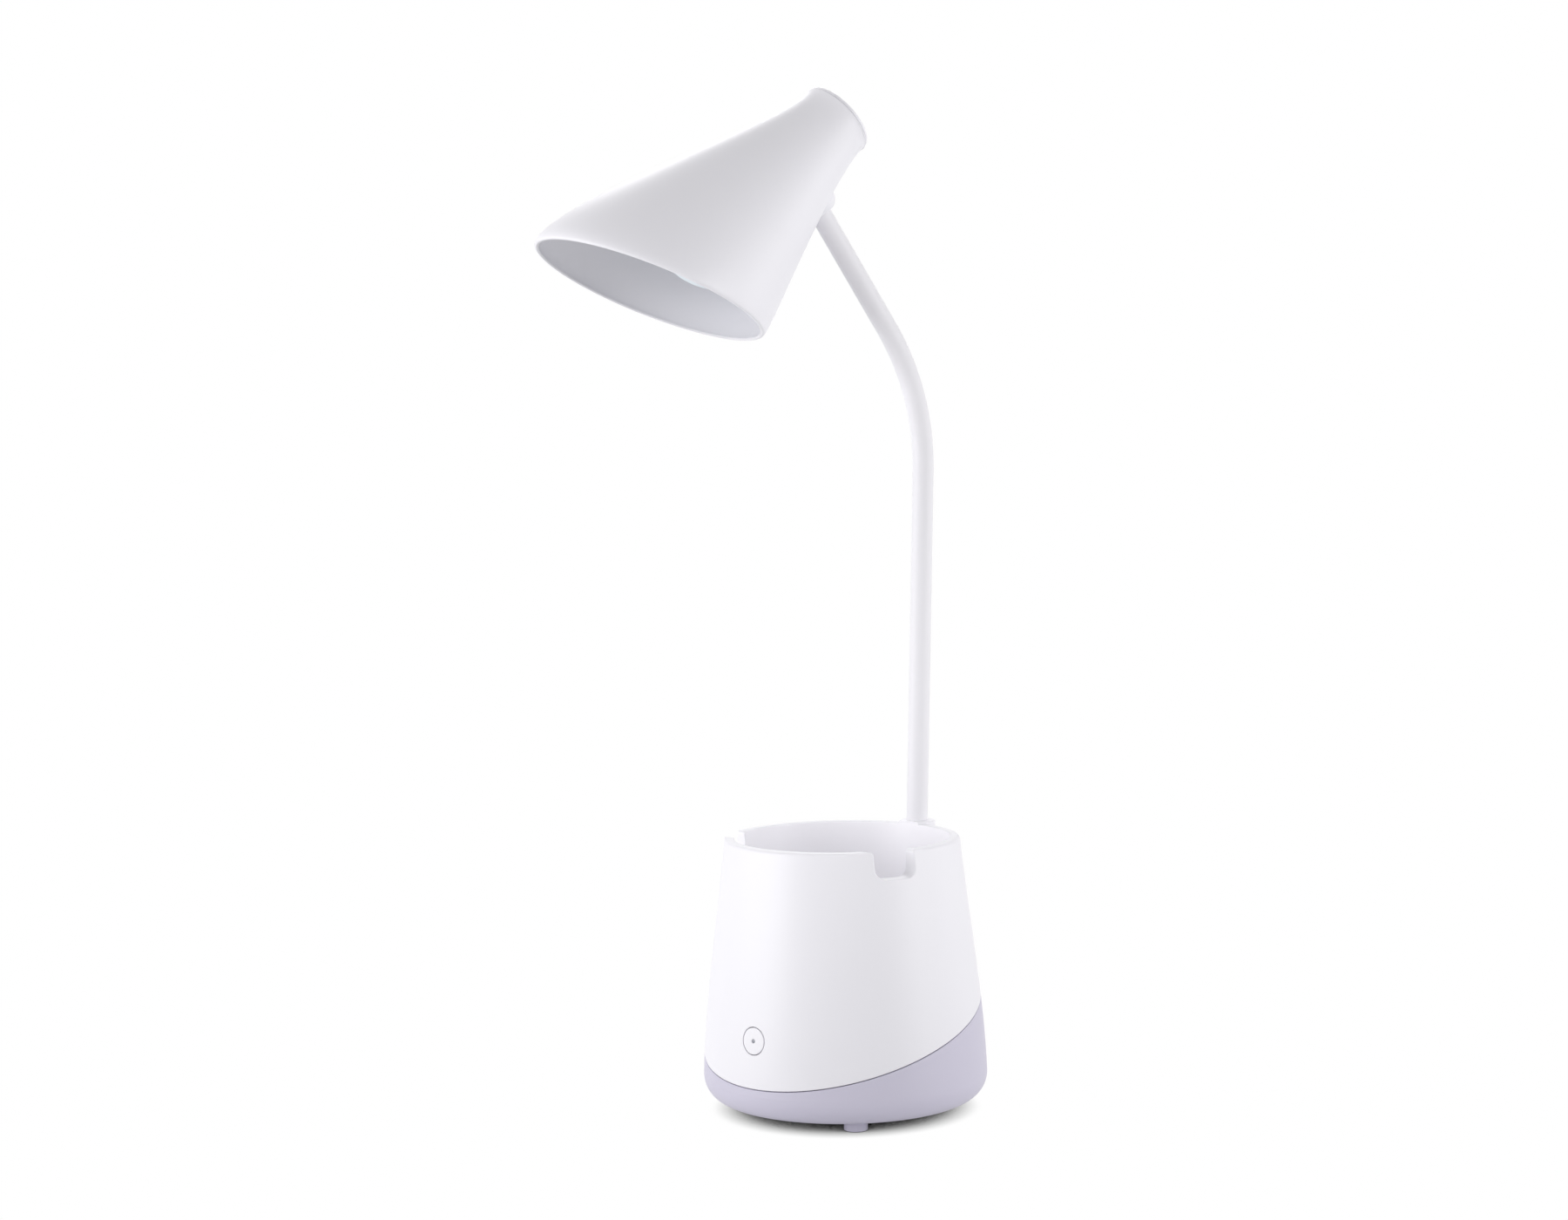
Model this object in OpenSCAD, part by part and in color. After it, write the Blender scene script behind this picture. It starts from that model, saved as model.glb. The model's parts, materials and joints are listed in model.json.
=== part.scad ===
// Desk lamp: a round base with a pen cup and a phone slot in its rim, a flexible
// gooseneck and a horn-shaped shade. Millimetres, Z up, origin on the base's axis
// at table level. The touch key faces -Y, and +X is to the right seen from there.

/* [Base] */
// Largest diameter of the base
base_d = 110; // [106:0.5:118]
// Outer diameter at the rim
rim_d = 91; // [89:0.5:94]
// Height of the rim above the table
rim_h = 105.6; // [100:0.2:116]
// Height of the widest ring
widest_z = 14; // [13:0.5:16]
// How far the rounded bottom edge reaches inwards
bottom_round = 9.4; // [7:0.2:11]
// Height of the flat underside, which is also how tall the feet are
underside_z = 4.2; // [3.8:0.1:5.2]
// Thickness of the outer walls
wall = 2.2; // [1.8:0.1:2.6]
// Thickness of the housing's floor
floor_t = 2.4; // [2:0.1:3]
// Radius of the rounding on the rim's outer edge
rim_round = 1.6; // [0.6:0.1:2]
// Height of the slanted joint on the base's axis
seam_z = 33.6; // [31:0.2:36]
// Slant of the joint, which rises towards the back
seam_tilt = 17.2; // [10:0.1:20]
// Width of the joint line between shell and housing
seam_gap = 0.35; // [0.2:0.05:0.6]
// Height of the locating lip inside the joint
lip_h = 2.4; // [1.5:0.1:3.5]
// Thickness of the locating lip
lip_t = 1.2; // [0.8:0.1:1.6]

/* [Pen cup and phone slot] */
// Inner diameter of the cup at the rim
cup_d = 83.4; // [80:0.2:84]
// Inner diameter of the cup at its floor
cup_floor_d = 77; // [70:0.5:78]
// Height of the cup's floor above the table
cup_floor_z = 41; // [41:0.5:55]
// Thickness of the cup's wall and floor
cup_wall = 1.8; // [1.4:0.1:2]
// Radius of the corner between the cup's wall and floor
cup_corner = 5; // [2:0.5:8]
// Width of the slot that takes a phone's edge
slot_w = 14.8; // [12:0.2:17]
// Depth of the slot below the rim
slot_depth = 10.4; // [7:0.2:11]
// How far in front of the axis the slot runs
slot_y = 18.6; // [14:0.1:20]
// Radius of the slot's bottom corners
slot_r = 3.5; // [2:0.1:5]

/* [Feet and fastenings] */
// Diameter of a foot at the table
foot_d = 9; // [8.4:0.1:10]
// Diameter of a foot where it meets the underside
foot_flare_d = 11.6; // [11:0.1:11.8]
// Diameter of the circle that the feet stand on
foot_circle_d = 79; // [77:0.5:79.5]
// Diameter of a foot's rubber pad
pad_d = 6.6; // [6.2:0.1:7.2]
// Height of a foot's rubber pad
pad_h = 1.3; // [1:0.1:1.6]
// How far a pad stands out of its foot
pad_out = 0.3; // [0.2:0.05:0.5]
// Thread diameter of the four housing screws
screw_d = 3; // [2.6:0.1:3.2]
// Head diameter of the housing screws
screw_head_d = 5.4; // [5:0.1:5.8]
// Head height of the housing screws
screw_head_h = 1.6; // [1.2:0.1:1.8]
// Length of the housing screws below the head
screw_l = 14; // [10:0.5:18]
// Outer diameter of the shell's screw posts
post_d = 6.4; // [5.6:0.1:7]
// Thread diameter of the small screws
small_screw_d = 2; // [1.6:0.1:2.2]
// Head diameter of the small screws
small_head_d = 3.6; // [3.2:0.1:4]
// Head height of the small screws
small_head_h = 1.2; // [0.8:0.1:1.6]
// Running clearance around screws, pins and inserts
fit_gap = 0.1; // [0.05:0.01:0.2]

/* [Inside the base] */
// Diameter of the steel ballast plate
ballast_d = 68; // [60:0.5:70]
// Thickness of the ballast plate
ballast_t = 4; // [2:0.5:5]
// Diameter of the battery cell
cell_d = 18.4; // [16:0.1:18.6]
// Length of the battery cell
cell_l = 65; // [50:0.5:65]
// Height of the battery cell above the ballast plate
cell_rise = 2; // [1.5:0.1:2.4]
// How far in front of the axis the cell lies
cell_y = 4; // [2:0.5:5]
// Width of the main circuit board
board_w = 34; // [30:0.5:36]
// Length of the main circuit board
board_l = 36; // [32:0.5:36]
// Thickness of the circuit boards
board_t = 1.6; // [1:0.1:2]
// Height of the main board's underside above the table
board_z = 14; // [12:0.5:15]
// Gap between the cell's cradle and the main board
board_gap = 2.8; // [2:0.1:3.4]
// Width of the charging socket
usb_w = 8.94; // [8.94:0.01:9.2]
// Height of the charging socket
usb_h = 3.2; // [3.2:0.02:3.6]
// Length of the charging socket
usb_l = 8.4; // [7.4:0.1:10]
// How far the socket's mouth lies inside the housing's face
usb_inset = 0.5; // [0.3:0.1:1]

/* [Touch key] */
// Height of the key's middle above the table
key_z = 34.7; // [33:0.1:38]
// Diameter of the key's cap
key_d = 10.1; // [9.5:0.1:12]
// Width of the groove around the cap
key_groove = 0.3; // [0.25:0.05:0.5]
// Diameter of the flange behind the cap
key_flange_d = 14.4; // [13.8:0.1:15]
// Thickness of the flange behind the cap
key_flange_t = 1; // [0.8:0.1:1.4]
// Diameter of the indicator light in the cap's middle
key_light_d = 1.5; // [1:0.1:2]
// Width of the key's own circuit board
key_board_w = 27; // [26:0.5:30]
// Height of the key's own circuit board
key_board_h = 12; // [10:0.5:14]
// Thickness of the key's copper electrode
electrode_t = 0.3; // [0.2:0.05:0.5]

/* [Neck] */
// Outer diameter of the neck's sleeve
neck_d = 8.4; // [7.6:0.1:9]
// Wall thickness of the sleeve
sleeve_wall = 0.85; // [0.7:0.05:1]
// Outer diameter of the wire inside the neck
wire_d = 3.2; // [2.4:0.1:3.2]
// Radial play between sleeve, steel core and wire
core_play = 0.1; // [0.05:0.01:0.15]
// Play in the rounded ends where two neck segments meet
ball_play = 0.2; // [0.1:0.05:0.3]
// How far behind the axis the neck stands
neck_y = 47; // [46.5:0.1:48]
// How far the head is turned from the front, towards -X
head_yaw = 22.5; // [0:0.5:45]
// Lean of the lower neck, positive towards the shade
neck_lean = -2; // [-6:0.1:3]
// Length of the straight lower neck
neck_low = 139; // [110:1:180]
// Radius of the bend in the upper neck
bend_r = 98; // [80:1:130]
// Angle of the bend in the upper neck
neck_bend = 34.8; // [25:0.2:45]
// Length of the straight upper neck, up to the shade
neck_top = 50; // [44:0.5:60]
// Number of neck segments in the straight lower part
segments_low = 4; // [3:1:4]
// Outer diameter of the neck's boss on the rim
boss_d = 14.4; // [13:0.2:15]
// How far the boss stands above the rim
boss_rise = 0.8; // [0.4:0.1:2]
// Thickness of the solid top of the boss
boss_plate = 24; // [22:0.5:30]
// Shank diameter of the neck's end fittings
shank_d = 6; // [5.2:0.1:6]
// Diameter of the end fittings' shoulder
shoulder_d = 9.2; // [8.4:0.1:9.4]
// Thickness of the end fittings' shoulder
shoulder_t = 1.5; // [1:0.1:2]
// Nut size across flats
nut_af = 8; // [7.4:0.1:8]
// Thickness of the nuts
nut_t = 3; // [2:0.1:4]
// Thickness of the washers
washer_t = 0.8; // [0.5:0.1:1]

/* [Shade] */
// Outer diameter of the shade's mouth
mouth_d = 92.8; // [84:0.4:96]
// Outer diameter of the shade's closed end
tip_d = 30.8; // [29:0.2:34]
// Diameter that the horn draws in to behind its closed end
waist_d = 25.2; // [24:0.2:32]
// Diameter that the horn swells to before its mouth
swell_d = 96.8; // [88:0.4:100]
// Thickness of the shade's wall
shade_wall = 1.8; // [1.4:0.1:2]
// How far the closed end lies behind the neck's end
tip_back = 25.8; // [24:0.2:30]
// How far the closed end lies above the neck's end
tip_up = 29.1; // [29:0.1:33]
// How far the mouth lies in front of the neck's end
mouth_fwd = 77.5; // [74:0.5:86]
// How far the mouth's middle lies above the neck's end
mouth_up = 17.2; // [15:0.2:20]
// Downward pitch of the closed end from the neck's square
tip_pitch = 8.6; // [5:0.2:12]
// Downward pitch of the mouth from the neck's square
mouth_pitch = 33; // [30:0.2:36]
// Diameter of the boss that takes the neck
collar_d = 12.4; // [11.6:0.2:14]
// Diameter that the boss flares to against the shade
flare_d = 19.2; // [17:0.2:20]
// Length over which the boss flares
flare_l = 6.5; // [5:0.5:8]
// Length of the boss along the neck
collar_l = 16; // [15:0.5:17]
// How far the neck's sleeve goes into the boss
sleeve_in = 4; // [3:0.5:5]
// Thickness of the cap on the closed end
cap_t = 1.6; // [1.2:0.1:2]
// Depth of the cap's plug inside the shade
cap_plug = 4; // [3:0.5:6]

/* [Light] */
// Where the lamp tray sits, from closed end 0 to mouth 1
tray_at = 0.58; // [0.56:0.002:0.64]
// Thickness of the lamp tray
tray_t = 2; // [1.6:0.1:2.6]
// Diameter of the light board
led_board_d = 50; // [46:0.5:54]
// How far to the side of the middle the leads pass through tray and board
lead_hole_y = 12; // [10:0.5:13]
// Thickness of the light board
led_board_t = 1.5; // [1:0.1:2]
// Number of light chips on the ring
led_count = 12; // [8:1:16]
// Diameter of the ring of light chips
led_ring_d = 36; // [32:0.5:40]
// Diameter of the diffuser at its seat
diffuser_d = 56; // [54:0.5:60]
// Radius of the diffuser's dome
diffuser_r = 28.2; // [28:0.1:34]
// Thickness of the diffuser
diffuser_t = 1.4; // [1:0.1:2]
// Width of the bracket behind the tray
bracket_w = 14; // [12:0.5:16]
// Thickness of the bracket
bracket_t = 1.2; // [1:0.1:1.6]
// Length of the bracket's tab on the tray
tab_l = 16; // [13:0.5:20]

/* [Hidden] */
$fn = 96;

white = [0.94, 0.94, 0.95];
lilac = [0.80, 0.78, 0.85];
steel = [0.72, 0.73, 0.75];
black = [0.12, 0.12, 0.13];
board_green = [0.10, 0.35, 0.22];
big = 400;
eps = 0.01;

// ---- base outline ----
base_r = base_d / 2;
rim_r = rim_d / 2;
outline_steps = 14;
corner_steps = 8;
rim_steps = 5;
boss_r = boss_d / 2;
boss_top = rim_h + boss_rise;

// Shares of the taper at the first, second and third power of the height
taper = [0.312, 1.428, -0.740];
function taper_at(u) = taper[0] * u + taper[1] * u * u + taper[2] * u * u * u;
// Outer radius of the base at height z
function base_radius(z) =
    z >= widest_z
        ? base_r - (base_r - rim_r) * taper_at((z - widest_z) / (rim_h - widest_z))
        : base_r - bottom_round * (1 - sqrt(1 - pow(min(1, (widest_z - z) / (widest_z - underside_z)), 2)));
side_points = [for (i = [0 : outline_steps])
    let (z = widest_z + (rim_h - widest_z) * i / outline_steps) [base_radius(z), z]];

// Half outline of the base, set in by t, from the axis at its floor to its rim
function base_outline(t, floor_z, top_z) = concat(
    [[0, floor_z]],
    [for (i = [0 : corner_steps])
        let (a = 90 * i / corner_steps)
        [base_r - t - (bottom_round - t / 2) * (1 - sin(a)),
         widest_z - (widest_z - floor_z) * cos(a)]],
    [for (p = side_points) if (p[1] > widest_z && p[1] < top_z - eps) [p[0] - t, p[1]]],
    [[base_radius(top_z) - t, top_z], [0, top_z]]
);

module half_space_above(offset) {
    translate([0, 0, seam_z + offset]) rotate([seam_tilt, 0, 0])
        translate([-big / 2, -big / 2, 0]) cube(big);
}

// ---- pen cup ----
function cup_radius(z) = cup_floor_d / 2 + (cup_d - cup_floor_d) / 2 * (z - cup_floor_z) / (rim_h - cup_floor_z);
cavity_top = rim_h - slot_depth - cup_wall;

// ---- feet and posts ----
foot_r = foot_circle_d / 2;
module at_feet() {
    for (a = [45 : 90 : 315]) rotate([0, 0, a]) translate([foot_r, 0, 0]) children();
}
housing_floor = underside_z + floor_t;
pad_pocket_h = pad_h - pad_out;
screw_seat_z = underside_z + 0.4;
post_foot_z = housing_floor + floor_t;
housing_boss_d = post_d + 2;

// ---- neck path ----
// The neck lies in an upright plane through its foot, turned by head_yaw
arc_l = bend_r * neck_bend * PI / 180;
head_angle = neck_lean + neck_bend;
segments = segments_low + 4;
// Distances along the neck at which its segments begin and end
stations = concat(
    [for (i = [0 : segments_low]) neck_low * i / segments_low],
    [neck_low + arc_l / 2, neck_low + arc_l, neck_low + arc_l + neck_top / 2, neck_low + arc_l + neck_top]
);
function neck_angle(s) =
    s <= neck_low ? neck_lean
    : s >= neck_low + arc_l ? head_angle
    : neck_lean + (s - neck_low) / bend_r * 180 / PI;
function neck_point(s) =
    s <= neck_low
        ? [s * sin(neck_lean), boss_top + s * cos(neck_lean)]
        : s <= neck_low + arc_l
            ? neck_point(neck_low) + bend_r * [cos(neck_lean) - cos(neck_angle(s)),
                                               sin(neck_angle(s)) - sin(neck_lean)]
            : neck_point(neck_low + arc_l) + (s - neck_low - arc_l) * [sin(head_angle), cos(head_angle)];
neck_l = neck_low + arc_l + neck_top;

module neck_plane() {
    translate([0, neck_y, 0]) rotate([0, 0, -90 - head_yaw]) children();
}
module at_neck(s) {
    neck_plane() translate([neck_point(s)[0], 0, neck_point(s)[1]]) rotate([0, neck_angle(s), 0]) children();
}
neck_r = neck_d / 2;
core_r = neck_r - sleeve_wall - core_play;
wire_r = wire_d / 2;
core_bore_r = wire_r + core_play;

// ---- shade spine, in the frame of the neck's end: x forward, z along the neck ----
function bezier(a, b, c, d, t) =
    a * pow(1 - t, 3) + 3 * b * t * pow(1 - t, 2) + 3 * c * t * t * (1 - t) + d * pow(t, 3);
tip_point = [-tip_back, tip_up];
mouth_point = [mouth_fwd, mouth_up];
tip_handle = 14.2;
mouth_handle = 7.6;
pitch_power = 0.78;
function heading(a) = [cos(a), -sin(a)];
function spine_point(t) = bezier(tip_point, tip_point + tip_handle * heading(tip_pitch),
                                 mouth_point - mouth_handle * heading(mouth_pitch), mouth_point, t);
function spine_pitch(t) = tip_pitch + (mouth_pitch - tip_pitch) * pow(t, pitch_power);
function horn_radius(t) = bezier(tip_d, waist_d, swell_d, mouth_d, t) / 2;
module at_spine(t) {
    at_neck(neck_l) translate([spine_point(t)[0], 0, spine_point(t)[1]])
        rotate([0, 90 + spine_pitch(t), 0]) children();
}
horn_sides = 48;
horn_rings = 14;
inner_rings = 8;
lip_rise = 0.6;
// One ring of the horn's surface, set in by inset and moved ahead along the horn by ahead
function horn_ring(t, inset, ahead = 0) =
    let (c = spine_point(t) + ahead * heading(spine_pitch(t)), r = horn_radius(t) - inset, a = spine_pitch(t))
    [for (i = [0 : horn_sides - 1])
        let (q = 360 * i / horn_sides, k = r * sin(q))
        [c[0] + k * sin(a), r * cos(q), c[1] + k * cos(a)]];

// ---- small shared shapes ----
module ring(ro, ri, h) {
    difference() {
        cylinder(r = ro, h = h);
        translate([0, 0, -1]) cylinder(r = ri, h = h + 2);
    }
}
// A screw with its head's underside at z = 0 and its shank pointing up
module screw(d, head_d, head_h, l) {
    difference() {
        union() {
            translate([0, 0, -head_h]) cylinder(d = head_d, h = head_h);
            translate([0, 0, -eps]) cylinder(d = d, h = l + eps);
        }
        for (a = [0, 90]) rotate([0, 0, a])
            translate([-head_d * 0.32, -head_h * 0.15, -head_h - 1]) cube([head_d * 0.64, head_h * 0.3, 1.6]);
    }
}
module rounded_slab(w, l, t, r) {
    translate([0, 0, 0]) linear_extrude(t) {
        square([w - 2 * r, l], center = true);
        square([w, l - 2 * r], center = true);
        for (x = [-1, 1], y = [-1, 1]) translate([x * (w / 2 - r), y * (l / 2 - r)]) circle(r);
    }
}

// ---- base: shell ----
module spine_form(r, z0, z1) {
    translate([0, neck_y, z0]) cylinder(r = r, h = z1 - z0);
    translate([-r, neck_y - 12, z0]) cube([2 * r, 12, z1 - z0]);
}
module base_form() {
    rim_profile = concat(
        [for (p = base_outline(0, underside_z, rim_h)) if (p[1] < rim_h - rim_round) p],
        [for (i = [0 : rim_steps])
            let (a = 90 * i / rim_steps)
            [base_radius(rim_h - rim_round) - rim_round * (1 - cos(a)), rim_h - rim_round * (1 - sin(a))]],
        [[0, rim_h]]
    );
    rotate_extrude() polygon(rim_profile);
    intersection() {
        spine_form(boss_r, widest_z, boss_top);
        translate([0, 0, widest_z]) cylinder(r = neck_y + boss_r + 1, h = big);
    }
}
module cup_space() {
    rotate_extrude() polygon(concat(
        [[0, cup_floor_z]],
        [for (i = [0 : rim_steps])
            let (a = 90 * i / rim_steps)
            [cup_radius(cup_floor_z) - cup_corner * (1 - sin(a)), cup_floor_z + cup_corner * (1 - cos(a))]],
        [[cup_d / 2, rim_h], [cup_d / 2 + 1, rim_h + 4], [0, rim_h + 4]]
    ));
}
// The cup's own body inside the hollow shell
module cup_body() {
    floor_z = cup_floor_z - cup_wall;
    rotate_extrude() polygon([
        [0, floor_z], [cup_radius(floor_z) + cup_wall - 2, floor_z], [cup_radius(floor_z) + cup_wall, floor_z + 2],
        [cup_radius(cavity_top) + cup_wall, cavity_top + 1], [0, cavity_top + 1]]);
}
module phone_slot() {
    translate([0, -slot_y, rim_h - slot_depth]) rotate([90, 0, 90])
        translate([0, 0, -base_r]) linear_extrude(base_d) {
            translate([-slot_w / 2, slot_r]) square([slot_w, slot_depth]);
            translate([-slot_w / 2 + slot_r, 0]) square([slot_w - 2 * slot_r, slot_r + eps]);
            for (x = [-1, 1]) translate([x * (slot_w / 2 - slot_r), slot_r]) circle(slot_r);
        }
}
neck_seat_r = shoulder_d / 2 + fit_gap;
spine_hollow_r = nut_af / 2 / cos(30) + 0.4;
module cup_shell() {
    color(white) difference() {
        union() {
            difference() {
                union() {
                    difference() {
                        base_form();
                        rotate_extrude() polygon(base_outline(wall, housing_floor, cavity_top));
                    }
                    // wall round the hollow spine
                    intersection() {
                        spine_form(boss_r - 0.2, widest_z, boss_top - 1);
                        base_form();
                    }
                }
                difference() {
                    translate([-big / 2, -big / 2, -big]) cube([big, big, big + seam_z + big]);
                    half_space_above(seam_gap / 2);
                }
            }
            cup_body();
            at_feet() {
                translate([0, 0, post_foot_z]) cylinder(d = post_d, h = cup_floor_z - cup_wall / 2 - post_foot_z);
                // the post's head reaches in to the cup's floor
                hull() for (x = [0, min(0, cup_floor_d / 2 + cup_wall / 2 - foot_r)])
                    translate([x, 0, cup_floor_z - cup_wall * 3]) cylinder(d = post_d, h = cup_wall * 2.5);
            }
            key_bosses();
        }
        cup_space();
        phone_slot();
        // way for the neck's end fitting, its nut and its lead
        translate([0, neck_y, 0]) cylinder(d = shank_d + 2 * fit_gap, h = big);
        translate([0, neck_y, boss_top - shoulder_t - fit_gap]) cylinder(r = neck_seat_r, h = big);
        translate([0, neck_y, 0]) cylinder(r = spine_hollow_r, h = boss_top - boss_plate);
        at_feet() cylinder(d = screw_d + 2 * fit_gap, h = screw_seat_z + screw_l + 1);
        at_key() {
            translate([0, 0, -wall * 3]) cylinder(d = key_d + 2 * key_groove, h = wall * 6);
            key_screw_places() translate([0, 0, -big / 4]) cylinder(d = small_screw_d + 2 * fit_gap, h = big / 4 - wall);
        }
    }
}

// ---- base: housing ----
module foot() {
    rotate_extrude() polygon(concat(
        [[0, pad_out], [foot_d / 2, pad_out], [foot_d / 2, underside_z * 0.55]],
        [for (i = [1 : rim_steps])
            let (a = 90 * i / rim_steps)
            [foot_d / 2 + (foot_flare_d - foot_d) / 2 * (1 - cos(a)), underside_z * (0.55 + 0.45 * sin(a))]],
        [[foot_flare_d / 2, housing_floor - 1], [0, housing_floor - 1]]
    ));
}
ballast_screw_x = 22;
ballast_screw_y = 20;
module at_ballast_screws() {
    for (x = [-1, 1]) translate([x * ballast_screw_x, -ballast_screw_y, 0]) children();
}
board_screw_x = board_w / 2 - 4;
board_screw_inset = 4;
module at_board_screws() {
    for (x = [-1, 1], y = [board_y + board_screw_inset, board_y + board_l - board_screw_inset - 3])
        translate([x * board_screw_x, y, 0]) children();
}
standoff_d = 5;
usb_z = board_z + board_t + usb_h / 2;
usb_mouth_y = base_radius(usb_z) - usb_inset;
module usb_form(grow, l) {
    rotate([-90, 0, 0]) linear_extrude(l) {
        square([usb_w + 2 * grow - usb_h - 2 * grow, usb_h + 2 * grow], center = true);
        for (x = [-1, 1]) translate([x * (usb_w - usb_h) / 2, 0]) circle(d = usb_h + 2 * grow);
    }
}
usb_clear = 0.25;
module base_housing() {
    lip_in = wall + fit_gap + lip_t;
    color(lilac) difference() {
        union() {
            difference() {
                union() {
                    difference() {
                        base_form();
                        half_space_above(-seam_gap / 2);
                    }
                    // locating lip inside the shell's wall
                    difference() {
                        rotate_extrude() polygon(base_outline(wall + fit_gap, underside_z + 1, cup_floor_z + 18));
                        half_space_above(lip_h);
                        translate([0, neck_y, 0]) cylinder(r = boss_r + fit_gap, h = big);
                    }
                }
                rotate_extrude() polygon(base_outline(lip_in, housing_floor, cup_floor_z + 20));
            }
            at_feet() foot();
            at_feet() translate([0, 0, underside_z + 1]) cylinder(d = housing_boss_d, h = post_foot_z - underside_z - 1);
            at_board_screws() translate([0, 0, underside_z + 1]) cylinder(d = standoff_d, h = board_z - underside_z - 1);
        }
        at_feet() {
            translate([0, 0, -1]) cylinder(d = pad_d + 2 * fit_gap, h = 1 + pad_out + pad_pocket_h);
            translate([0, 0, -1]) cylinder(d = screw_head_d + 2 * fit_gap, h = 1 + screw_seat_z);
            cylinder(d = screw_d + 2 * fit_gap, h = post_foot_z + 1);
        }
        at_board_screws() translate([0, 0, housing_floor]) cylinder(d = small_screw_d + 2 * fit_gap, h = board_z);
        at_ballast_screws() translate([0, 0, underside_z + 0.6]) cylinder(d = small_screw_d + 2 * fit_gap, h = board_z);
        translate([0, usb_mouth_y - lip_in - 3, usb_z]) usb_form(usb_clear, lip_in + 8);
        // way for the neck's lead inside the spine
        translate([0, neck_y, lead_bend_z - wire_r - 1]) cylinder(r = spine_hollow_r, h = big);
    }
}
module foot_pads() {
    color(black) at_feet() {
        cylinder(d = pad_d, h = pad_h);
        // the plug that holds the pad in the mouth of the screw's hole
        cylinder(d = screw_head_d, h = screw_seat_z - screw_head_h - 2 * fit_gap);
    }
}
module housing_screws() {
    color(steel) at_feet() translate([0, 0, screw_seat_z]) screw(screw_d, screw_head_d, screw_head_h, screw_l);
}

// ---- inside the base ----
ballast_top = housing_floor + ballast_t;
module ballast_plate() {
    color(steel) difference() {
        translate([0, 0, housing_floor]) cylinder(d = ballast_d, h = ballast_t);
        at_board_screws() cylinder(d = standoff_d + 1, h = big);
        at_ballast_screws() cylinder(d = small_screw_d + 2 * fit_gap, h = big);
    }
}
module ballast_screws() {
    color(steel) at_ballast_screws() translate([0, 0, ballast_top]) rotate([180, 0, 0])
        screw(small_screw_d, small_head_d, small_head_h, ballast_t + floor_t - 1);
}
cell_z = ballast_top + cell_rise + cell_d / 2;
cradle_side = 2;
cradle_back = cell_d / 2 + cradle_side - cell_y;
board_y = cradle_back + board_gap;
module battery_cell() {
    color([0.25, 0.45, 0.62]) translate([-cell_l / 2, -cell_y, cell_z]) rotate([0, 90, 0]) {
        cylinder(d = cell_d, h = cell_l - 1);
        translate([0, 0, cell_l - 1 - eps]) cylinder(d = 6, h = 1);
    }
}
module battery_cradle() {
    w = cell_d + 2 * cradle_side;
    l = cell_l + 2 * cradle_side + 1;
    color(black) difference() {
        translate([-l / 2, -cell_y - w / 2, ballast_top]) cube([l, w, cell_rise + cell_d * 0.55]);
        translate([-cell_l / 2 - 0.5, -cell_y, cell_z]) rotate([0, 90, 0])
            cylinder(d = cell_d + 2 * fit_gap, h = cell_l + 1);
        translate([-cell_l / 2 + 8, -cell_y - w, ballast_top + cell_rise + 4]) cube([cell_l - 16, 2 * w, cell_d]);
    }
}
plug_h = 5;
plug_t = 1.4;
module battery_leads() {
    color("crimson") for (x = [-2, 2])
        translate([x, cradle_back, ballast_top + cell_rise + 2.5]) rotate([-90, 0, 0])
            cylinder(d = 1.4, h = board_y - plug_t - cradle_back, $fn = 32);
}
module main_board() {
    color(board_green) difference() {
        translate([0, board_y + board_l / 2, board_z]) rounded_slab(board_w, board_l, board_t, 1.5);
        at_board_screws() cylinder(d = small_screw_d + 2 * fit_gap, h = big);
    }
}
board_top = board_z + board_t;
lead_bend_z = board_top + plug_h + 5;
lead_plug_y = board_y + board_l - 10;
key_plug_y = board_y + 12;
key_lead_x = 8;
key_lead_z = cup_floor_z - cup_wall - 2.4;
module board_parts() {
    color(black) translate([0, 0, board_top]) {
        // the battery's plug hooks over the board's front edge
        translate([-4, board_y - plug_t, -board_t - 1.6]) cube([8, plug_t, plug_h + board_t + 1.6]);
        translate([-4, board_y - eps, 0]) cube([8, 5, plug_h]);
        translate([-3, lead_plug_y - 3, 0]) cube([6, 6, plug_h]);
        translate([key_lead_x - 3, key_plug_y - 2.5, 0]) cube([5, 5, plug_h]);
        translate([-8, board_y + 10, 0]) cube([6, 5, 1.2]);
        translate([-13, board_y + 14, 0]) cube([3, 6, 1]);
        translate([8, board_y + 22, 0]) cube([5, 5, 3]);
        for (i = [0 : 4]) translate([-13 + 2.4 * i, board_y + 23, 0]) cube([1.2, 2, 0.8]);
    }
}
module board_screws() {
    color(steel) at_board_screws() translate([0, 0, board_top]) rotate([180, 0, 0])
        screw(small_screw_d, small_head_d, small_head_h, 6);
}
module usb_socket() {
    color(steel) translate([0, usb_mouth_y - usb_l, usb_z]) difference() {
        usb_form(0, usb_l);
        translate([0, 1, 0]) difference() {
            usb_form(-0.35, usb_l);
            translate([-usb_w / 2 + 1.4, -1, -0.35]) cube([usb_w - 2.8, usb_l - 1, 0.7]);
        }
    }
}

// ---- touch key ----
key_slope = atan((base_radius(key_z - 2) - base_radius(key_z + 2)) / 4);
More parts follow.
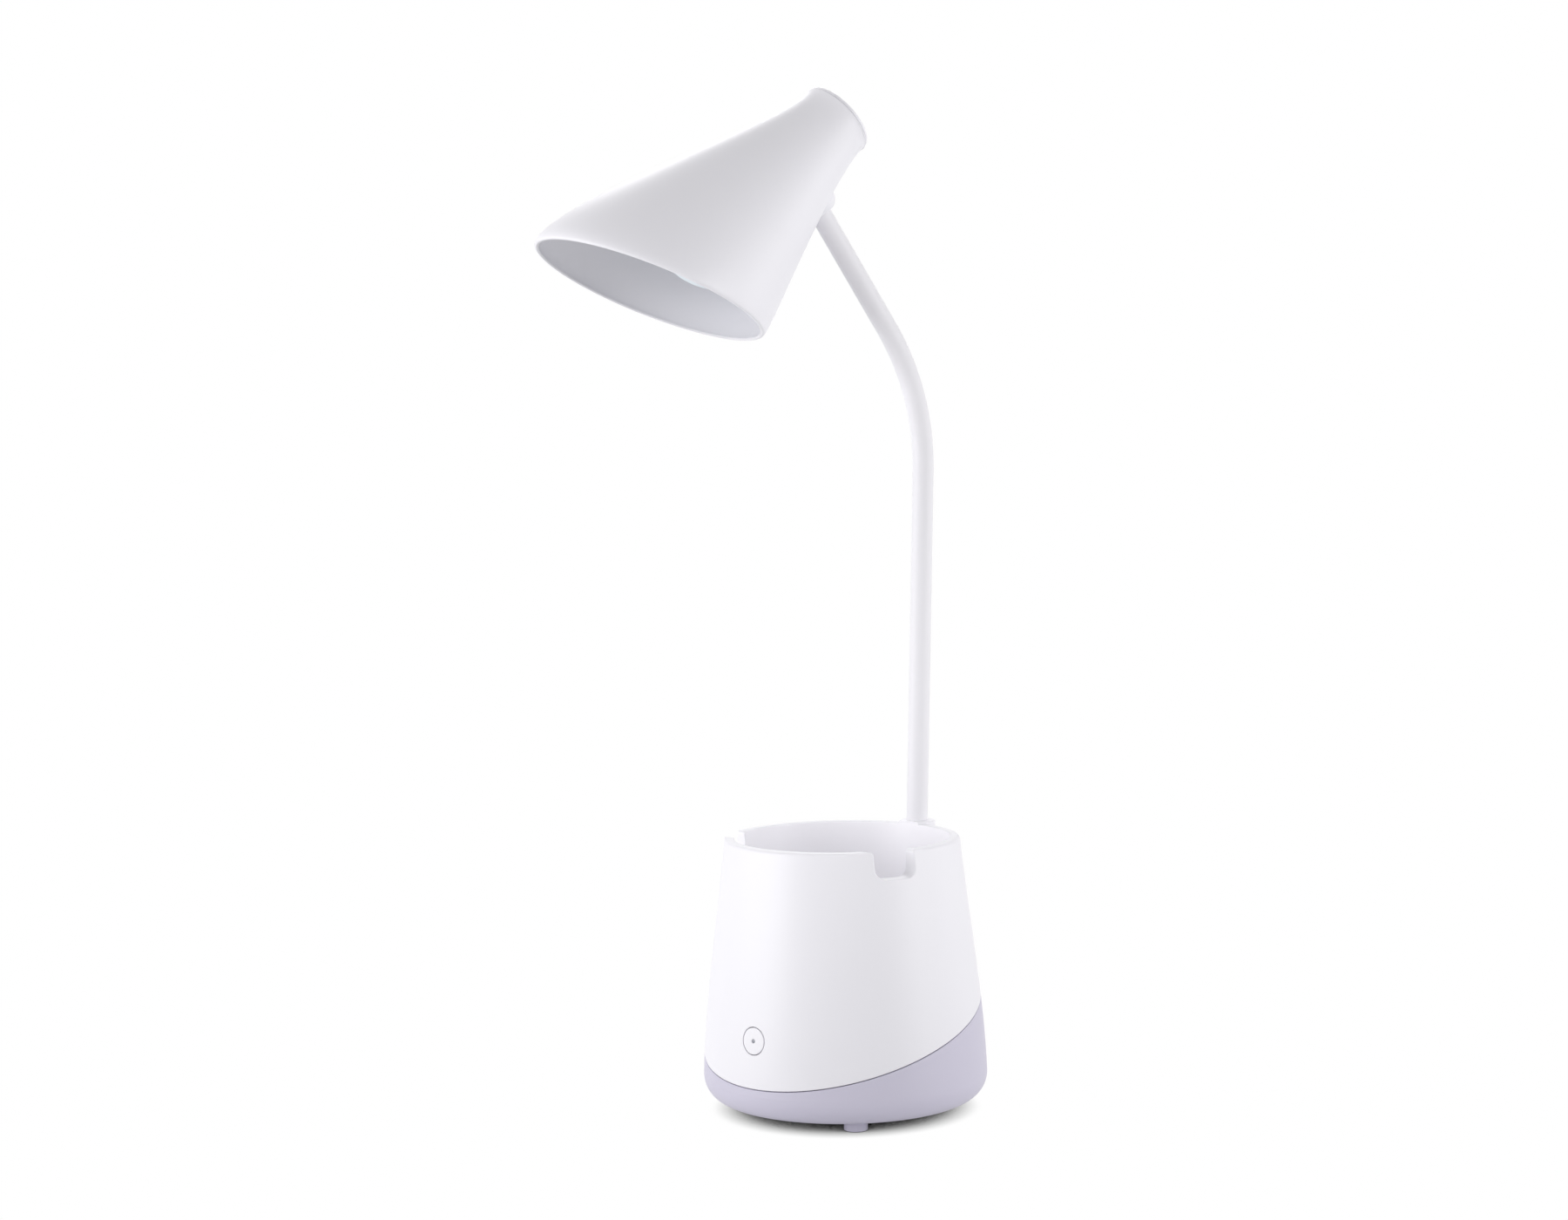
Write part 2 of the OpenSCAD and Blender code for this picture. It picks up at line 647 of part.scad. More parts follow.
// z points out of the shell at the key's middle, and y up
module at_key() {
    translate([0, -base_radius(key_z), key_z]) rotate([90 - key_slope, 0, 0]) children();
}
key_screw_x = 10.6;
module key_screw_places() {
    for (x = [-1, 1]) translate([x * key_screw_x, 0, 0]) children();
}
flange_front = wall + 0.7;
electrode_back = flange_front + key_flange_t + electrode_t;
key_boss_d = 4.6;
key_screw_bite = electrode_back - wall - 3 * fit_gap;
module key_bosses() {
    difference() {
        at_key() key_screw_places() translate([0, 0, -electrode_back])
            cylinder(d = key_boss_d, h = electrode_back - wall / 2);
        difference() {
            translate([0, 0, -big / 2]) cube([big, big, big * 2], center = true);
            base_form();
        }
    }
}
module touch_key() {
    color(white) difference() {
        intersection() {
            at_key() {
                translate([0, 0, -flange_front - eps]) cylinder(d = key_d, h = flange_front + 5);
                translate([0, 0, -flange_front - key_flange_t]) cylinder(d = key_flange_d, h = key_flange_t);
            }
            base_form();
        }
        at_key() translate([0, 0, -big / 2]) cylinder(d = key_light_d + 2 * fit_gap, h = big, $fn = 32);
    }
}
module key_light() {
    color([0.55, 0.56, 0.60]) intersection() {
        at_key() translate([0, 0, -electrode_back]) cylinder(d = key_light_d, h = electrode_back + 5, $fn = 32);
        base_form();
    }
}
module key_electrode() {
    color([0.80, 0.50, 0.30]) at_key() translate([0, 0, -electrode_back])
        ring(key_flange_d / 2 - 1.5, key_light_d / 2 + fit_gap, electrode_t);
}
module key_board() {
    color(board_green) at_key() translate([0, 0, -electrode_back - board_t]) difference() {
        rounded_slab(key_board_w, key_board_h, board_t, 1);
        key_screw_places() translate([0, 0, -1]) cylinder(d = small_screw_d + 2 * fit_gap, h = board_t + 2);
    }
}
module key_board_screws() {
    color(steel) at_key() key_screw_places() translate([0, 0, -electrode_back - board_t])
        screw(small_screw_d, small_head_d, small_head_h, board_t + key_screw_bite);
}
key_lead_r = 0.8;
module key_lead() {
    y0 = -base_radius(key_z) + electrode_back + board_t + 0.5;
    color(black) {
        translate([key_lead_x, y0, key_lead_z]) rotate([-90, 0, 0])
            cylinder(r = key_lead_r, h = key_plug_y - y0, $fn = 32);
        translate([key_lead_x, key_plug_y, key_lead_z]) sphere(r = key_lead_r * 1.1, $fn = 32);
        translate([key_lead_x, key_plug_y, board_top + plug_h])
            cylinder(r = key_lead_r, h = key_lead_z - board_top - plug_h, $fn = 32);
    }
}

// ---- neck end fittings ----
module end_fitting(shank_l) {
    difference() {
        union() {
            translate([0, 0, -shoulder_t]) cylinder(d = shoulder_d, h = shoulder_t);
            translate([0, 0, -shank_l]) cylinder(d = shank_d, h = shank_l - eps);
        }
        translate([0, 0, -shank_l - 1]) cylinder(r = core_bore_r, h = shank_l + 2);
    }
}
module hex_nut() {
    difference() {
        cylinder(d = nut_af / cos(30), h = nut_t, $fn = 6);
        translate([0, 0, -1]) cylinder(d = shank_d + 2 * fit_gap, h = nut_t + 2);
    }
}
base_shank_l = boss_plate + nut_t + washer_t + 2;
module neck_fitting_base() {
    color(steel) translate([0, neck_y, boss_top]) end_fitting(base_shank_l);
}
module neck_washer_base() {
    color(steel) translate([0, neck_y, boss_top - boss_plate - washer_t])
        ring(spine_hollow_r - 0.3, shank_d / 2 + fit_gap, washer_t);
}
module neck_nut_base() {
    color(steel) translate([0, neck_y, boss_top - boss_plate - washer_t - nut_t]) hex_nut();
}
module neck_lead() {
    color(black) {
        translate([0, neck_y, lead_bend_z]) cylinder(r = wire_r, h = boss_top - lead_bend_z, $fn = 48);
        translate([0, neck_y, lead_bend_z]) sphere(r = wire_r * 1.05, $fn = 48);
        translate([0, lead_plug_y, lead_bend_z]) rotate([-90, 0, 0])
            cylinder(r = wire_r, h = neck_y - lead_plug_y, $fn = 48);
        translate([0, lead_plug_y, lead_bend_z]) sphere(r = wire_r * 1.05, $fn = 48);
        translate([0, lead_plug_y, board_top + plug_h])
            cylinder(r = wire_r, h = lead_bend_z - board_top - plug_h, $fn = 48);
    }
}

// ---- neck segments ----
ball_steps = 10;
joint_lap = 1;
lap_play = 0.02;
// Outline points of a segment's rounded upper end, from radius ro in to radius ri
function ball_points(ro, ri, z) =
    let (a0 = acos(ro / neck_r), a1 = acos(ri / neck_r))
    [for (i = [(ro < neck_r ? 0 : 1) : ball_steps])
        let (a = a0 + (a1 - a0) * i / ball_steps) [neck_r * cos(a), z + neck_r * sin(a)]];
// One stretch of the neck between stations k - 1 and k, with its rounded upper end
module neck_run(k, ro, ri) {
    s0 = stations[k - 1];
    s1 = stations[k];
    turn = neck_angle(s1) - neck_angle(s0);
    if (turn < eps) {
        z0 = k == 1 ? -1 : 0;
        z1 = s1 - s0 + (k == segments ? sleeve_in : 0);
        end_points = k == segments ? [[ri, z1]] : ball_points(ro, ri, z1);
        at_neck(s0) rotate_extrude() polygon(concat([[ri, z0], [ro, z0], [ro, z1]], end_points));
    } else {
        at_neck(s0) translate([bend_r, 0, 0]) rotate([90, 0, 0]) rotate([0, 0, 180 - turn])
            rotate_extrude(angle = turn) translate([bend_r, 0]) difference() {
                circle(ro);
                if (ri > 0) circle(ri);
            }
        // the rounded end laps into the bent tube, a little inside its walls
        inner_r = ri > 0 ? ri + lap_play : 0;
        at_neck(s1) rotate_extrude() polygon(concat(
            [[inner_r, 0], [inner_r, -joint_lap], [ro - lap_play, -joint_lap], [ro - lap_play, 0], [ro, 0]],
            ball_points(ro, ri, 0),
            ri > 0 ? [[ri, 0]] : []
        ));
    }
}
module neck_piece(k, ro, ri) {
    difference() {
        neck_run(k, ro, ri);
        if (k > 1) at_neck(stations[k - 1]) sphere(r = neck_r + ball_play);
        // the first segment stands level on the boss
        if (k == 1) translate([-big / 2, -big / 2, boss_top - big]) cube(big);
    }
}
module neck_sleeve(k) {
    color(white) neck_piece(k, neck_r, core_r + core_play);
}
module neck_core(k) {
    color(steel) neck_piece(k, core_r, core_bore_r);
}
module neck_wire(k) {
    color(black) neck_piece(k, wire_r, 0);
}

// ---- neck to shade ----
head_shank_l = collar_l - sleeve_in + washer_t + nut_t + 2;
module at_collar() {
    at_neck(neck_l) children();
}
module neck_fitting_head() {
    color(steel) at_collar() translate([0, 0, sleeve_in]) difference() {
        union() {
            cylinder(r = neck_r, h = shoulder_t);
            cylinder(d = shank_d, h = head_shank_l);
        }
        translate([0, 0, -1]) cylinder(r = core_bore_r, h = head_shank_l + 2);
    }
}
bracket_z = collar_l;
module neck_washer_head() {
    color(steel) at_collar() translate([0, 0, bracket_z + bracket_t])
        ring(collar_d / 2 - 0.6, shank_d / 2 + fit_gap, washer_t);
}
module neck_nut_head() {
    color(steel) at_collar() translate([0, 0, bracket_z + bracket_t + washer_t]) hex_nut();
}

// ---- shade ----
module horn() {
    outer = [for (i = [0 : horn_rings]) horn_ring(i / horn_rings, 0)];
    lip = [horn_ring(1, shade_wall * 0.15, lip_rise * 0.7), horn_ring(1, shade_wall / 2, lip_rise),
           horn_ring(1, shade_wall * 0.85, lip_rise * 0.7)];
    inner = [for (i = [inner_rings : -1 : 0]) horn_ring(i / inner_rings, shade_wall)];
    rings = concat(outer, lip, inner);
    n = len(rings);
    m = horn_sides;
    polyhedron(
        points = [for (r = rings) each r],
        faces = [for (j = [0 : n - 1], i = [0 : m - 1])
            let (a = j * m + i, b = j * m + (i + 1) % m, c = (j + 1) % n * m + i, d = (j + 1) % n * m + (i + 1) % m)
            each [[a, b, d], [a, d, c]]]
    );
}
// The horn's narrow part without its hollow, as thin slices, to seat the boss on
horn_slices = 24;
module horn_filled(grow) {
    step = 0.42 / horn_slices;
    for (i = [0 : horn_slices - 1]) {
        t = 0.1 + i * step;
        h = norm(spine_point(t + step) - spine_point(t)) + 0.2;
        at_spine(t + step / 2) translate([0, 0, -h / 2])
            cylinder(r1 = horn_radius(t) + grow, r2 = horn_radius(t + step) + grow, h = h);
    }
}
flare_steps = 10;
flare_root = neck_r + 0.5;
flare_profile = concat(
    [[0, 0]],
    [for (i = [0 : flare_steps])
        let (a = 90 * i / flare_steps)
        [flare_root + (flare_d / 2 - flare_root) * sin(a), flare_l * (1 - cos(a))]]
);
flare_top = collar_l - bracket_t;
module neck_collar() {
    color(white) difference() {
        union() {
            at_collar() intersection() {
                cylinder(d = collar_d, h = collar_l);
                rotate_extrude() polygon(concat(flare_profile, [[flare_d / 2, collar_l], [0, collar_l]]));
            }
            difference() {
                at_collar() rotate_extrude() polygon(concat(flare_profile, [[flare_d / 2, flare_top], [0, flare_top]]));
                horn_filled(0.35);
            }
        }
        at_collar() translate([0, 0, -1]) cylinder(r = neck_r + core_play, h = 1 + sleeve_in + shoulder_t);
        at_collar() cylinder(d = shank_d + 2 * fit_gap, h = collar_l + 1);
    }
}
module shade() {
    color(white) difference() {
        at_neck(neck_l) horn();
        at_collar() translate([0, 0, -collar_l / 2]) cylinder(d = collar_d + fit_gap, h = collar_l * 1.5);
    }
}
module shade_cap() {
    color(white) at_spine(0) {
        translate([0, 0, -cap_t]) rotate_extrude() polygon([
            [0, 0], [tip_d / 2 - 1.4, 0], [tip_d / 2 - 0.5, 0.4], [tip_d / 2 - 0.3, cap_t * 0.6],
            [tip_d / 2 - 0.3, cap_t], [0, cap_t]]);
        translate([0, 0, -eps]) ring(tip_d / 2 - shade_wall - 2 * fit_gap, tip_d / 2 - shade_wall - 1.6, cap_plug);
    }
}

// ---- light ----
tray_r = horn_radius(tray_at) - shade_wall - 0.35;
tray_pitch = spine_pitch(tray_at);
// In the neck end's frame: the tray's middle, and the run of its back face
tray_mid = spine_point(tray_at);
tray_run = [sin(tray_pitch), cos(tray_pitch)];
tray_back = tray_mid - tray_t * heading(tray_pitch);
// Where the bracket's upper face meets the tray's back
foot_share = (bracket_z + bracket_t - tray_back[1]) / tray_run[1];
bracket_end = tray_back + foot_share * tray_run;
led_screw_x = 4;
led_screw_share = foot_share + tab_l * 0.55;
module at_led_screws() {
    at_spine(tray_at) for (y = [-1, 1]) translate([-led_screw_share, y * led_screw_x, 0]) children();
}
module head_bracket() {
    back = -bracket_t * heading(tray_pitch);
    inner = bracket_end + back;
    elbow = inner + (bracket_z + bracket_t - inner[1]) / tray_run[1] * tray_run;
    tab_end = bracket_end + tab_l * tray_run;
    color(steel) difference() {
        at_collar() rotate([90, 0, 0]) translate([0, 0, -bracket_w / 2]) linear_extrude(bracket_w) polygon([
            [-collar_d / 2, bracket_z], [bracket_end[0] - bracket_t * tray_run[0] / tray_run[1], bracket_z],
            bracket_end, tab_end, tab_end + back, elbow,
            [-collar_d / 2, bracket_z + bracket_t]]);
        at_collar() cylinder(d = shank_d + 2 * fit_gap, h = big);
        at_led_screws() translate([0, 0, -big / 8]) cylinder(d = small_screw_d + 2 * fit_gap, h = big / 4);
    }
}
module lamp_tray() {
    color(white) difference() {
        at_spine(tray_at) {
            translate([0, 0, -tray_t]) cylinder(r1 = tray_r - tray_t * 0.75, r2 = tray_r, h = tray_t);
            translate([0, 0, -eps]) ring(diffuser_d / 2 + 1.2, diffuser_d / 2 + fit_gap, 2.4);
        }
        at_led_screws() translate([0, 0, -tray_t - 1]) cylinder(d = small_screw_d + 2 * fit_gap, h = tray_t + 2);
        at_spine(tray_at) translate([0, lead_hole_y, -tray_t - 1]) cylinder(r = 2, h = tray_t + 2);
    }
}
module led_board() {
    color([0.93, 0.93, 0.90]) difference() {
        at_spine(tray_at) cylinder(d = led_board_d, h = led_board_t);
        at_led_screws() translate([0, 0, -1]) cylinder(d = small_screw_d + 2 * fit_gap, h = led_board_t + 2);
        at_spine(tray_at) translate([0, lead_hole_y, -1]) cylinder(r = 1.5, h = led_board_t + 2);
    }
}
module led_chips() {
    color([0.95, 0.88, 0.45]) at_spine(tray_at) for (i = [0 : led_count - 1])
        rotate([0, 0, 360 * i / led_count + 180 / led_count])
            translate([led_ring_d / 2 - 1.4, -1.75, led_board_t]) cube([2.8, 3.5, 0.8]);
}
module led_screws() {
    color(steel) at_led_screws() translate([0, 0, led_board_t]) rotate([180, 0, 0])
        screw(small_screw_d, small_head_d, small_head_h, led_board_t + tray_t + bracket_t + 1);
}
dome_drop = sqrt(pow(diffuser_r, 2) - pow(diffuser_d / 2, 2));
module diffuser() {
    color([0.90, 0.93, 0.95, 0.8]) at_spine(tray_at) difference() {
        intersection() {
            translate([0, 0, -dome_drop]) sphere(r = diffuser_r);
            cylinder(r = diffuser_d, h = big);
        }
        translate([0, 0, -dome_drop]) sphere(r = diffuser_r - diffuser_t);
        translate([0, 0, -1]) cylinder(d = led_board_d + 2, h = 1 + led_board_t + 0.3);
    }
}
lead_r = 1;
module head_lead() {
    top = sleeve_in + head_shank_l + 3;
    color(black) {
        at_collar() translate([0, 0, sleeve_in]) cylinder(r = wire_r, h = head_shank_l, $fn = 48);
        at_collar() translate([0, 0, sleeve_in + head_shank_l - eps]) cylinder(r = lead_r, h = 3, $fn = 32);
        at_collar() translate([0, 0, top]) sphere(r = lead_r * 1.1, $fn = 32);
        at_collar() translate([0, 0, top]) lead_to_tray(top);
    }
}
// The last stretch of the head's lead, from above the nut to the hole in the tray
module lead_to_tray(top) {
    hole = tray_back;
    d = [hole[0], lead_hole_y, hole[1] - top];
    l = norm(d);
    rotate([0, acos(d[2] / l), 0]) rotate([0, 0, 0]) cylinder(r = lead_r, h = eps);
    rotate([0, 0, atan2(d[1], d[0])]) rotate([0, acos(d[2] / l), 0]) cylinder(r = lead_r, h = l, $fn = 32);
}

cup_shell();
base_housing();
foot_pads();
housing_screws();
ballast_plate();
ballast_screws();
battery_cell();
battery_cradle();
battery_leads();
main_board();
board_parts();
board_screws();
usb_socket();
touch_key();
key_light();
key_electrode();
key_board();
key_board_screws();
key_lead();
neck_fitting_base();
neck_washer_base();
neck_nut_base();
neck_lead();
for (k = [1 : segments]) {
    neck_sleeve(k);
    neck_core(k);
    neck_wire(k);
}
neck_fitting_head();
neck_washer_head();
neck_nut_head();
head_lead();
neck_collar();
shade();
shade_cap();
head_bracket();
lamp_tray();
led_board();
led_chips();
led_screws();
diffuser();
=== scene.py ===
"""A desk lamp with a pen cup base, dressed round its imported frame.

Pale moulded shell, lilac housing, smooth gooseneck and a horn-shaped shade.
"""

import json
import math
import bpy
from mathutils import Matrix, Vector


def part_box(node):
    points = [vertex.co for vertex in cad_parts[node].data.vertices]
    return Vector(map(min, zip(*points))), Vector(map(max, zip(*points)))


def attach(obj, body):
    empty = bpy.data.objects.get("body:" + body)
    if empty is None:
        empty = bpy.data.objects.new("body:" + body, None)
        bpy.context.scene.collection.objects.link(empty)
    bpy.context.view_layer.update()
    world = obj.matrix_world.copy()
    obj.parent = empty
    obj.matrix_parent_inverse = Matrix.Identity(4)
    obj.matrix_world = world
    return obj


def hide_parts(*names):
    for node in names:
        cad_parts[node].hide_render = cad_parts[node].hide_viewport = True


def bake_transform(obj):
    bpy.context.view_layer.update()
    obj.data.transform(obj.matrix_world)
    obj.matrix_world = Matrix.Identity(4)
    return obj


bl_info = {
    "name": "Desk lamp with pen cup",
    "version": (1, 0, 0),
    "blender": (4, 5, 0),
    "location": "View3D > Sidebar > Desk Lamp",
    "description": "Builds the desk lamp's shell, housing, neck, shade and light round its frame",
    "category": "Object",
}

from types import SimpleNamespace

import bmesh
import bpy
import numpy as np
from bpy.props import FloatProperty, FloatVectorProperty, IntProperty, PointerProperty
from mathutils import Matrix, Vector

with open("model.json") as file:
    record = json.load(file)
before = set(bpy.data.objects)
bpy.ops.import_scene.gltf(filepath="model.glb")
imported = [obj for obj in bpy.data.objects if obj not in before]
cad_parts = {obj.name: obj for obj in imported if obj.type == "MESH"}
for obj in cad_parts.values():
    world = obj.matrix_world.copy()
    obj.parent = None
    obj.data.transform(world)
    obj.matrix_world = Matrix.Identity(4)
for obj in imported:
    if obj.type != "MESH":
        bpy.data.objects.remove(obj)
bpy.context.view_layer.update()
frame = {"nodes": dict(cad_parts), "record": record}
MM = 0.001
TAU = 2 * math.pi


# ---- sizes and colours


def length(name, default_mm, description):
    return FloatProperty(
        name=name, description=description, default=default_mm * MM, unit="LENGTH", subtype="DISTANCE", precision=5)


def angle(name, degrees, description):
    return FloatProperty(
        name=name, description=description, default=math.radians(degrees), unit="ROTATION", subtype="ANGLE")


def colour(name, rgb, description):
    return FloatVectorProperty(
        name=name, description=description, default=rgb, size=3, min=0, max=1, subtype="COLOR")


class LampSizes(bpy.types.PropertyGroup):
    base_radius: length("Base radius", 55, "Radius of the base at its widest ring")
    rim_radius: length("Rim radius", 45.5, "Outer radius of the base at its rim")
    rim_height: length("Rim height", 105.6, "Height of the rim above the table")
    widest_height: length("Widest height", 14, "Height of the base's widest ring")
    bottom_round: length("Bottom rounding", 9.4, "How far the rounded bottom edge reaches inwards")
    underside: length("Underside", 4.2, "Height of the flat underside")
    wall: length("Wall", 2.2, "Thickness of the outer walls")
    rim_round: length("Rim rounding", 1.6, "Radius on the rim's outer edge")
    seam_height: length("Joint height", 33.6, "Height of the slanted joint on the axis")
    seam_slant: angle("Joint slant", 17.2, "Slant of the joint, rising to the back")
    seam_gap: length("Joint gap", 0.3, "Width of the joint line")
    cup_radius: length("Cup radius", 41.7, "Inner radius of the cup at the rim")
    cup_floor_radius: length("Cup floor radius", 38.5, "Inner radius of the cup at its floor")
    cup_floor: length("Cup floor", 41, "Height of the cup's floor")
    slot_width: length("Slot width", 14.8, "Width of the phone slot")
    slot_depth: length("Slot depth", 10.4, "Depth of the phone slot")
    slot_front: length("Slot place", 18.6, "How far in front of the axis the slot runs")
    slot_corner: length("Slot corner", 3.5, "Radius of the slot's bottom corners")
    slot_lead_in: length("Slot lead-in", 1.4, "Radius where the slot's walls meet the rim")
    key_height: length("Key height", 34.7, "Height of the touch key's middle")
    key_radius: length("Key radius", 5.05, "Radius of the touch key")
    key_groove: length("Key groove", 0.3, "Width of the groove round the touch key")
    neck_radius: length("Neck radius", 4.2, "Radius of the neck's sleeve")
    neck_back: length("Neck place", 47, "How far behind the axis the neck stands")
    boss_radius: length("Boss radius", 7.2, "Radius of the boss that the neck stands on")
    neck_low: length("Lower neck", 139, "Length of the straight lower neck")
    neck_bend_radius: length("Bend radius", 98, "Radius of the neck's bend")
    neck_top: length("Upper neck", 50, "Length of the straight upper neck")
    neck_lean: angle("Neck lean", -2, "Lean of the lower neck")
    neck_bend: angle("Neck bend", 34.8, "Angle of the neck's bend")
    head_yaw: angle("Head turn", 22.5, "How far the head is turned to the left")
    shade_wall: length("Shade wall", 1.8, "Thickness of the shade's wall")
    collar_radius: length("Boss core radius", 6.2, "Radius of the boss inside the shade")
    flare_radius: length("Boss flare radius", 9.6, "Radius of the boss where it meets the shade")
    diffuser_radius: length("Diffuser radius", 28.2, "Radius of the diffuser's dome")
    steps: IntProperty(name="Steps", description="Steps round each round piece", default=144, min=24, max=512)


class LampColours(bpy.types.PropertyGroup):
    shell: colour("Shell", (0.841, 0.831, 0.874), "Pale moulded shell and shade")
    housing: colour("Housing", (0.588, 0.565, 0.675), "Lilac lower housing")
    sleeve: colour("Sleeve", (0.825, 0.815, 0.849), "Neck sleeve")
    diffuser: colour("Diffuser", (0.780, 0.850, 0.900), "Frosted diffuser")
    steel: colour("Steel", (0.60, 0.61, 0.63), "Plated steel")
    dark: colour("Dark plastic", (0.02, 0.02, 0.022), "Insulation and moulded inner parts")


def sizes():
    return bpy.context.scene.lamp_sizes


def colours():
    return bpy.context.scene.lamp_colours


# ---- mesh helpers


def new_object(name, data):
    piece = bpy.data.objects.new(name, data)
    bpy.context.scene.collection.objects.link(piece)
    return piece


def discard(piece):
    mesh = piece.data
    bpy.data.objects.remove(piece)
    bpy.data.meshes.remove(mesh)


def turns(start, end, steps):
    """The cosine and sine of evenly spaced angles, given in degrees."""
    return [(math.cos(a), math.sin(a)) for a in map(math.radians, np.linspace(start, end, steps))]


def flat_ring(turn, r, z):
    """A ring of points at the angles turn round Z; r and z may be numbers or one value a point."""
    c, si = np.cos(turn), np.sin(turn)
    return np.stack([r * c, r * si, np.broadcast_to(z, c.shape)], 1)


def rings_to_mesh(name, rings, closed_loop=False):
    """A closed skin through rings of equal length; a ring of one point is a pole."""
    points, starts = [], []
    for ring in rings:
        starts.append(sum(len(p) for p in points))
        points.append(np.atleast_2d(ring))
    faces = []
    pairs = list(zip(range(len(rings) - 1), range(1, len(rings))))
    if closed_loop:
        pairs.append((len(rings) - 1, 0))
    for a, b in pairs:
        n_a, n_b = len(points[a]), len(points[b])
        n = max(n_a, n_b)
        for i in range(n):
            j = (i + 1) % n
            if n_a == 1:
                faces.append((starts[a], starts[b] + j, starts[b] + i))
            elif n_b == 1:
                faces.append((starts[a] + i, starts[a] + j, starts[b]))
            else:
                faces.append((starts[a] + i, starts[a] + j, starts[b] + j, starts[b] + i))
    mesh = bpy.data.meshes.new(name)
    mesh.from_pydata(np.concatenate(points).tolist(), [], faces)
    mesh.update()
    tidy_normals(mesh)
    return new_object(name, mesh)


def skin_between_poles(name, rings):
    """A closed skin from rings that hold its two poles somewhere along their run."""
    first, second = [i for i, ring in enumerate(rings) if len(ring) == 1]
    return rings_to_mesh(name, rings[second:] + rings[:first + 1])


def tidy_normals(mesh):
    bm = bmesh.new()
    bm.from_mesh(mesh)
    bmesh.ops.remove_doubles(bm, verts=bm.verts, dist=1e-7)
    bmesh.ops.recalc_face_normals(bm, faces=bm.faces)
    bm.to_mesh(mesh)
    bm.free()
    mesh.update()


def join_meshes(name, pieces):
    """One object from several, each piece already closed."""
    bm = bmesh.new()
    for piece in pieces:
        bm.from_mesh(piece.data)
    mesh = bpy.data.meshes.new(name)
    bm.to_mesh(mesh)
    bm.free()
    for piece in pieces:
        discard(piece)
    return new_object(name, mesh)


def freeze(piece):
    """Applies a piece's modifiers to its mesh."""
    bpy.context.view_layer.update()
    graph = bpy.context.evaluated_depsgraph_get()
    mesh = bpy.data.meshes.new_from_object(piece.evaluated_get(graph), depsgraph=graph)
    mesh.name = piece.name
    if piece.type == "MESH":
        old = piece.data
        piece.modifiers.clear()
        piece.data = mesh
        bpy.data.meshes.remove(old)
        return piece
    name = piece.name
    bpy.data.objects.remove(piece)
    return new_object(name, mesh)


def cut(piece, cutter):
    """Takes the cutter's solid out of a piece."""
    modifier = piece.modifiers.new("Cut", "BOOLEAN")
    modifier.object, modifier.operation, modifier.solver = cutter, "DIFFERENCE", "EXACT"
    freeze(piece)
    discard(cutter)


def shade_smooth(piece, degrees=38):
    mesh = piece.data
    mesh.polygons.foreach_set("use_smooth", [True] * len(mesh.polygons))
    mesh.set_sharp_from_angle(angle=math.radians(degrees))
    modifier = piece.modifiers.new("Weighted", "WEIGHTED_NORMAL")
    modifier.keep_sharp = True
    return freeze(piece)


# ---- node helpers

NOISE, MATH = "ShaderNodeTexNoise", "ShaderNodeMath"


def add_nodes(tree, **kinds):
    return SimpleNamespace(**{name: tree.nodes.new(kind) for name, kind in kinds.items()})


def set_inputs(node, **values):
    """Sets plain values on a node's inputs; an underscore stands for a space."""
    for label, value in values.items():
        node.inputs[label.replace("_", " ")].default_value = value


def wire(tree, nodes, *wires):
    """Links nodes by their short names; each wire reads 'node.Output > node.Input', by name or number."""
    for text in wires:
        (source, out), (target, into) = (end.split(".", 1) for end in text.split(" > "))
        outputs, inputs = vars(nodes)[source].outputs, vars(nodes)[target].inputs
        tree.links.new(outputs[int(out) if out.isdigit() else out], inputs[int(into) if into.isdigit() else into])


def geometry_tree(name, takes, gives, material, **kinds):
    """A Geometry Nodes tree with named inputs, which ends in Realize Instances and Set Material."""
    tree = bpy.data.node_groups.new(name, "GeometryNodeTree")
    new = tree.interface.new_socket
    ids = {}
    for label, kind in takes.items():
        ids[label] = new(label, in_out="INPUT", socket_type="NodeSocket" + kind).identifier
    new(gives, in_out="OUTPUT", socket_type="NodeSocketGeometry")
    nodes = add_nodes(
        tree, given="NodeGroupInput", out="NodeGroupOutput", soft="GeometryNodeSetShadeSmooth",
        real="GeometryNodeRealizeInstances", paint="GeometryNodeSetMaterial", **kinds)
    set_inputs(nodes.paint, Material=material)
    wire(tree, nodes, "real.Geometry > soft.Geometry", "soft.Geometry > paint.Geometry",
         f"paint.Geometry > out.{gives}")
    return tree, nodes, ids


def shader_group(name, takes, **kinds):
    """A shader group with named inputs that gives a colour, a roughness and a height."""
    tree = bpy.data.node_groups.new(name, "ShaderNodeTree")
    new = tree.interface.new_socket
    for label, default in takes.items():
        kind = "NodeSocketColor" if isinstance(default, tuple) else "NodeSocketFloat"
        new(label, in_out="INPUT", socket_type=kind).default_value = default
    for label, kind in (("Colour", "Color"), ("Roughness", "Float"), ("Height", "Float")):
        new(label, in_out="OUTPUT", socket_type="NodeSocket" + kind)
    return tree, add_nodes(
        tree, given="NodeGroupInput", out="NodeGroupOutput", place="ShaderNodeTexCoord", **kinds)


# ---- round pieces and finishes


def revolve(name, profile, place=None, steps=None):
    """A solid of revolution about Z from points of radius and height, from axis to axis or round a closed loop."""
    steps = steps or sizes().steps
    turn = np.arange(steps) * TAU / steps
    on_axis = 1e-9
    rings = [np.array([[0, 0, z]]) if r < on_axis else flat_ring(turn, r, z) for r, z in profile]
    ends_on_axis = profile[0][0] < on_axis and profile[-1][0] < on_axis
    piece = rings_to_mesh(name, rings, closed_loop=not ends_on_axis)
    if place is not None:
        piece.data.transform(place)
    return piece


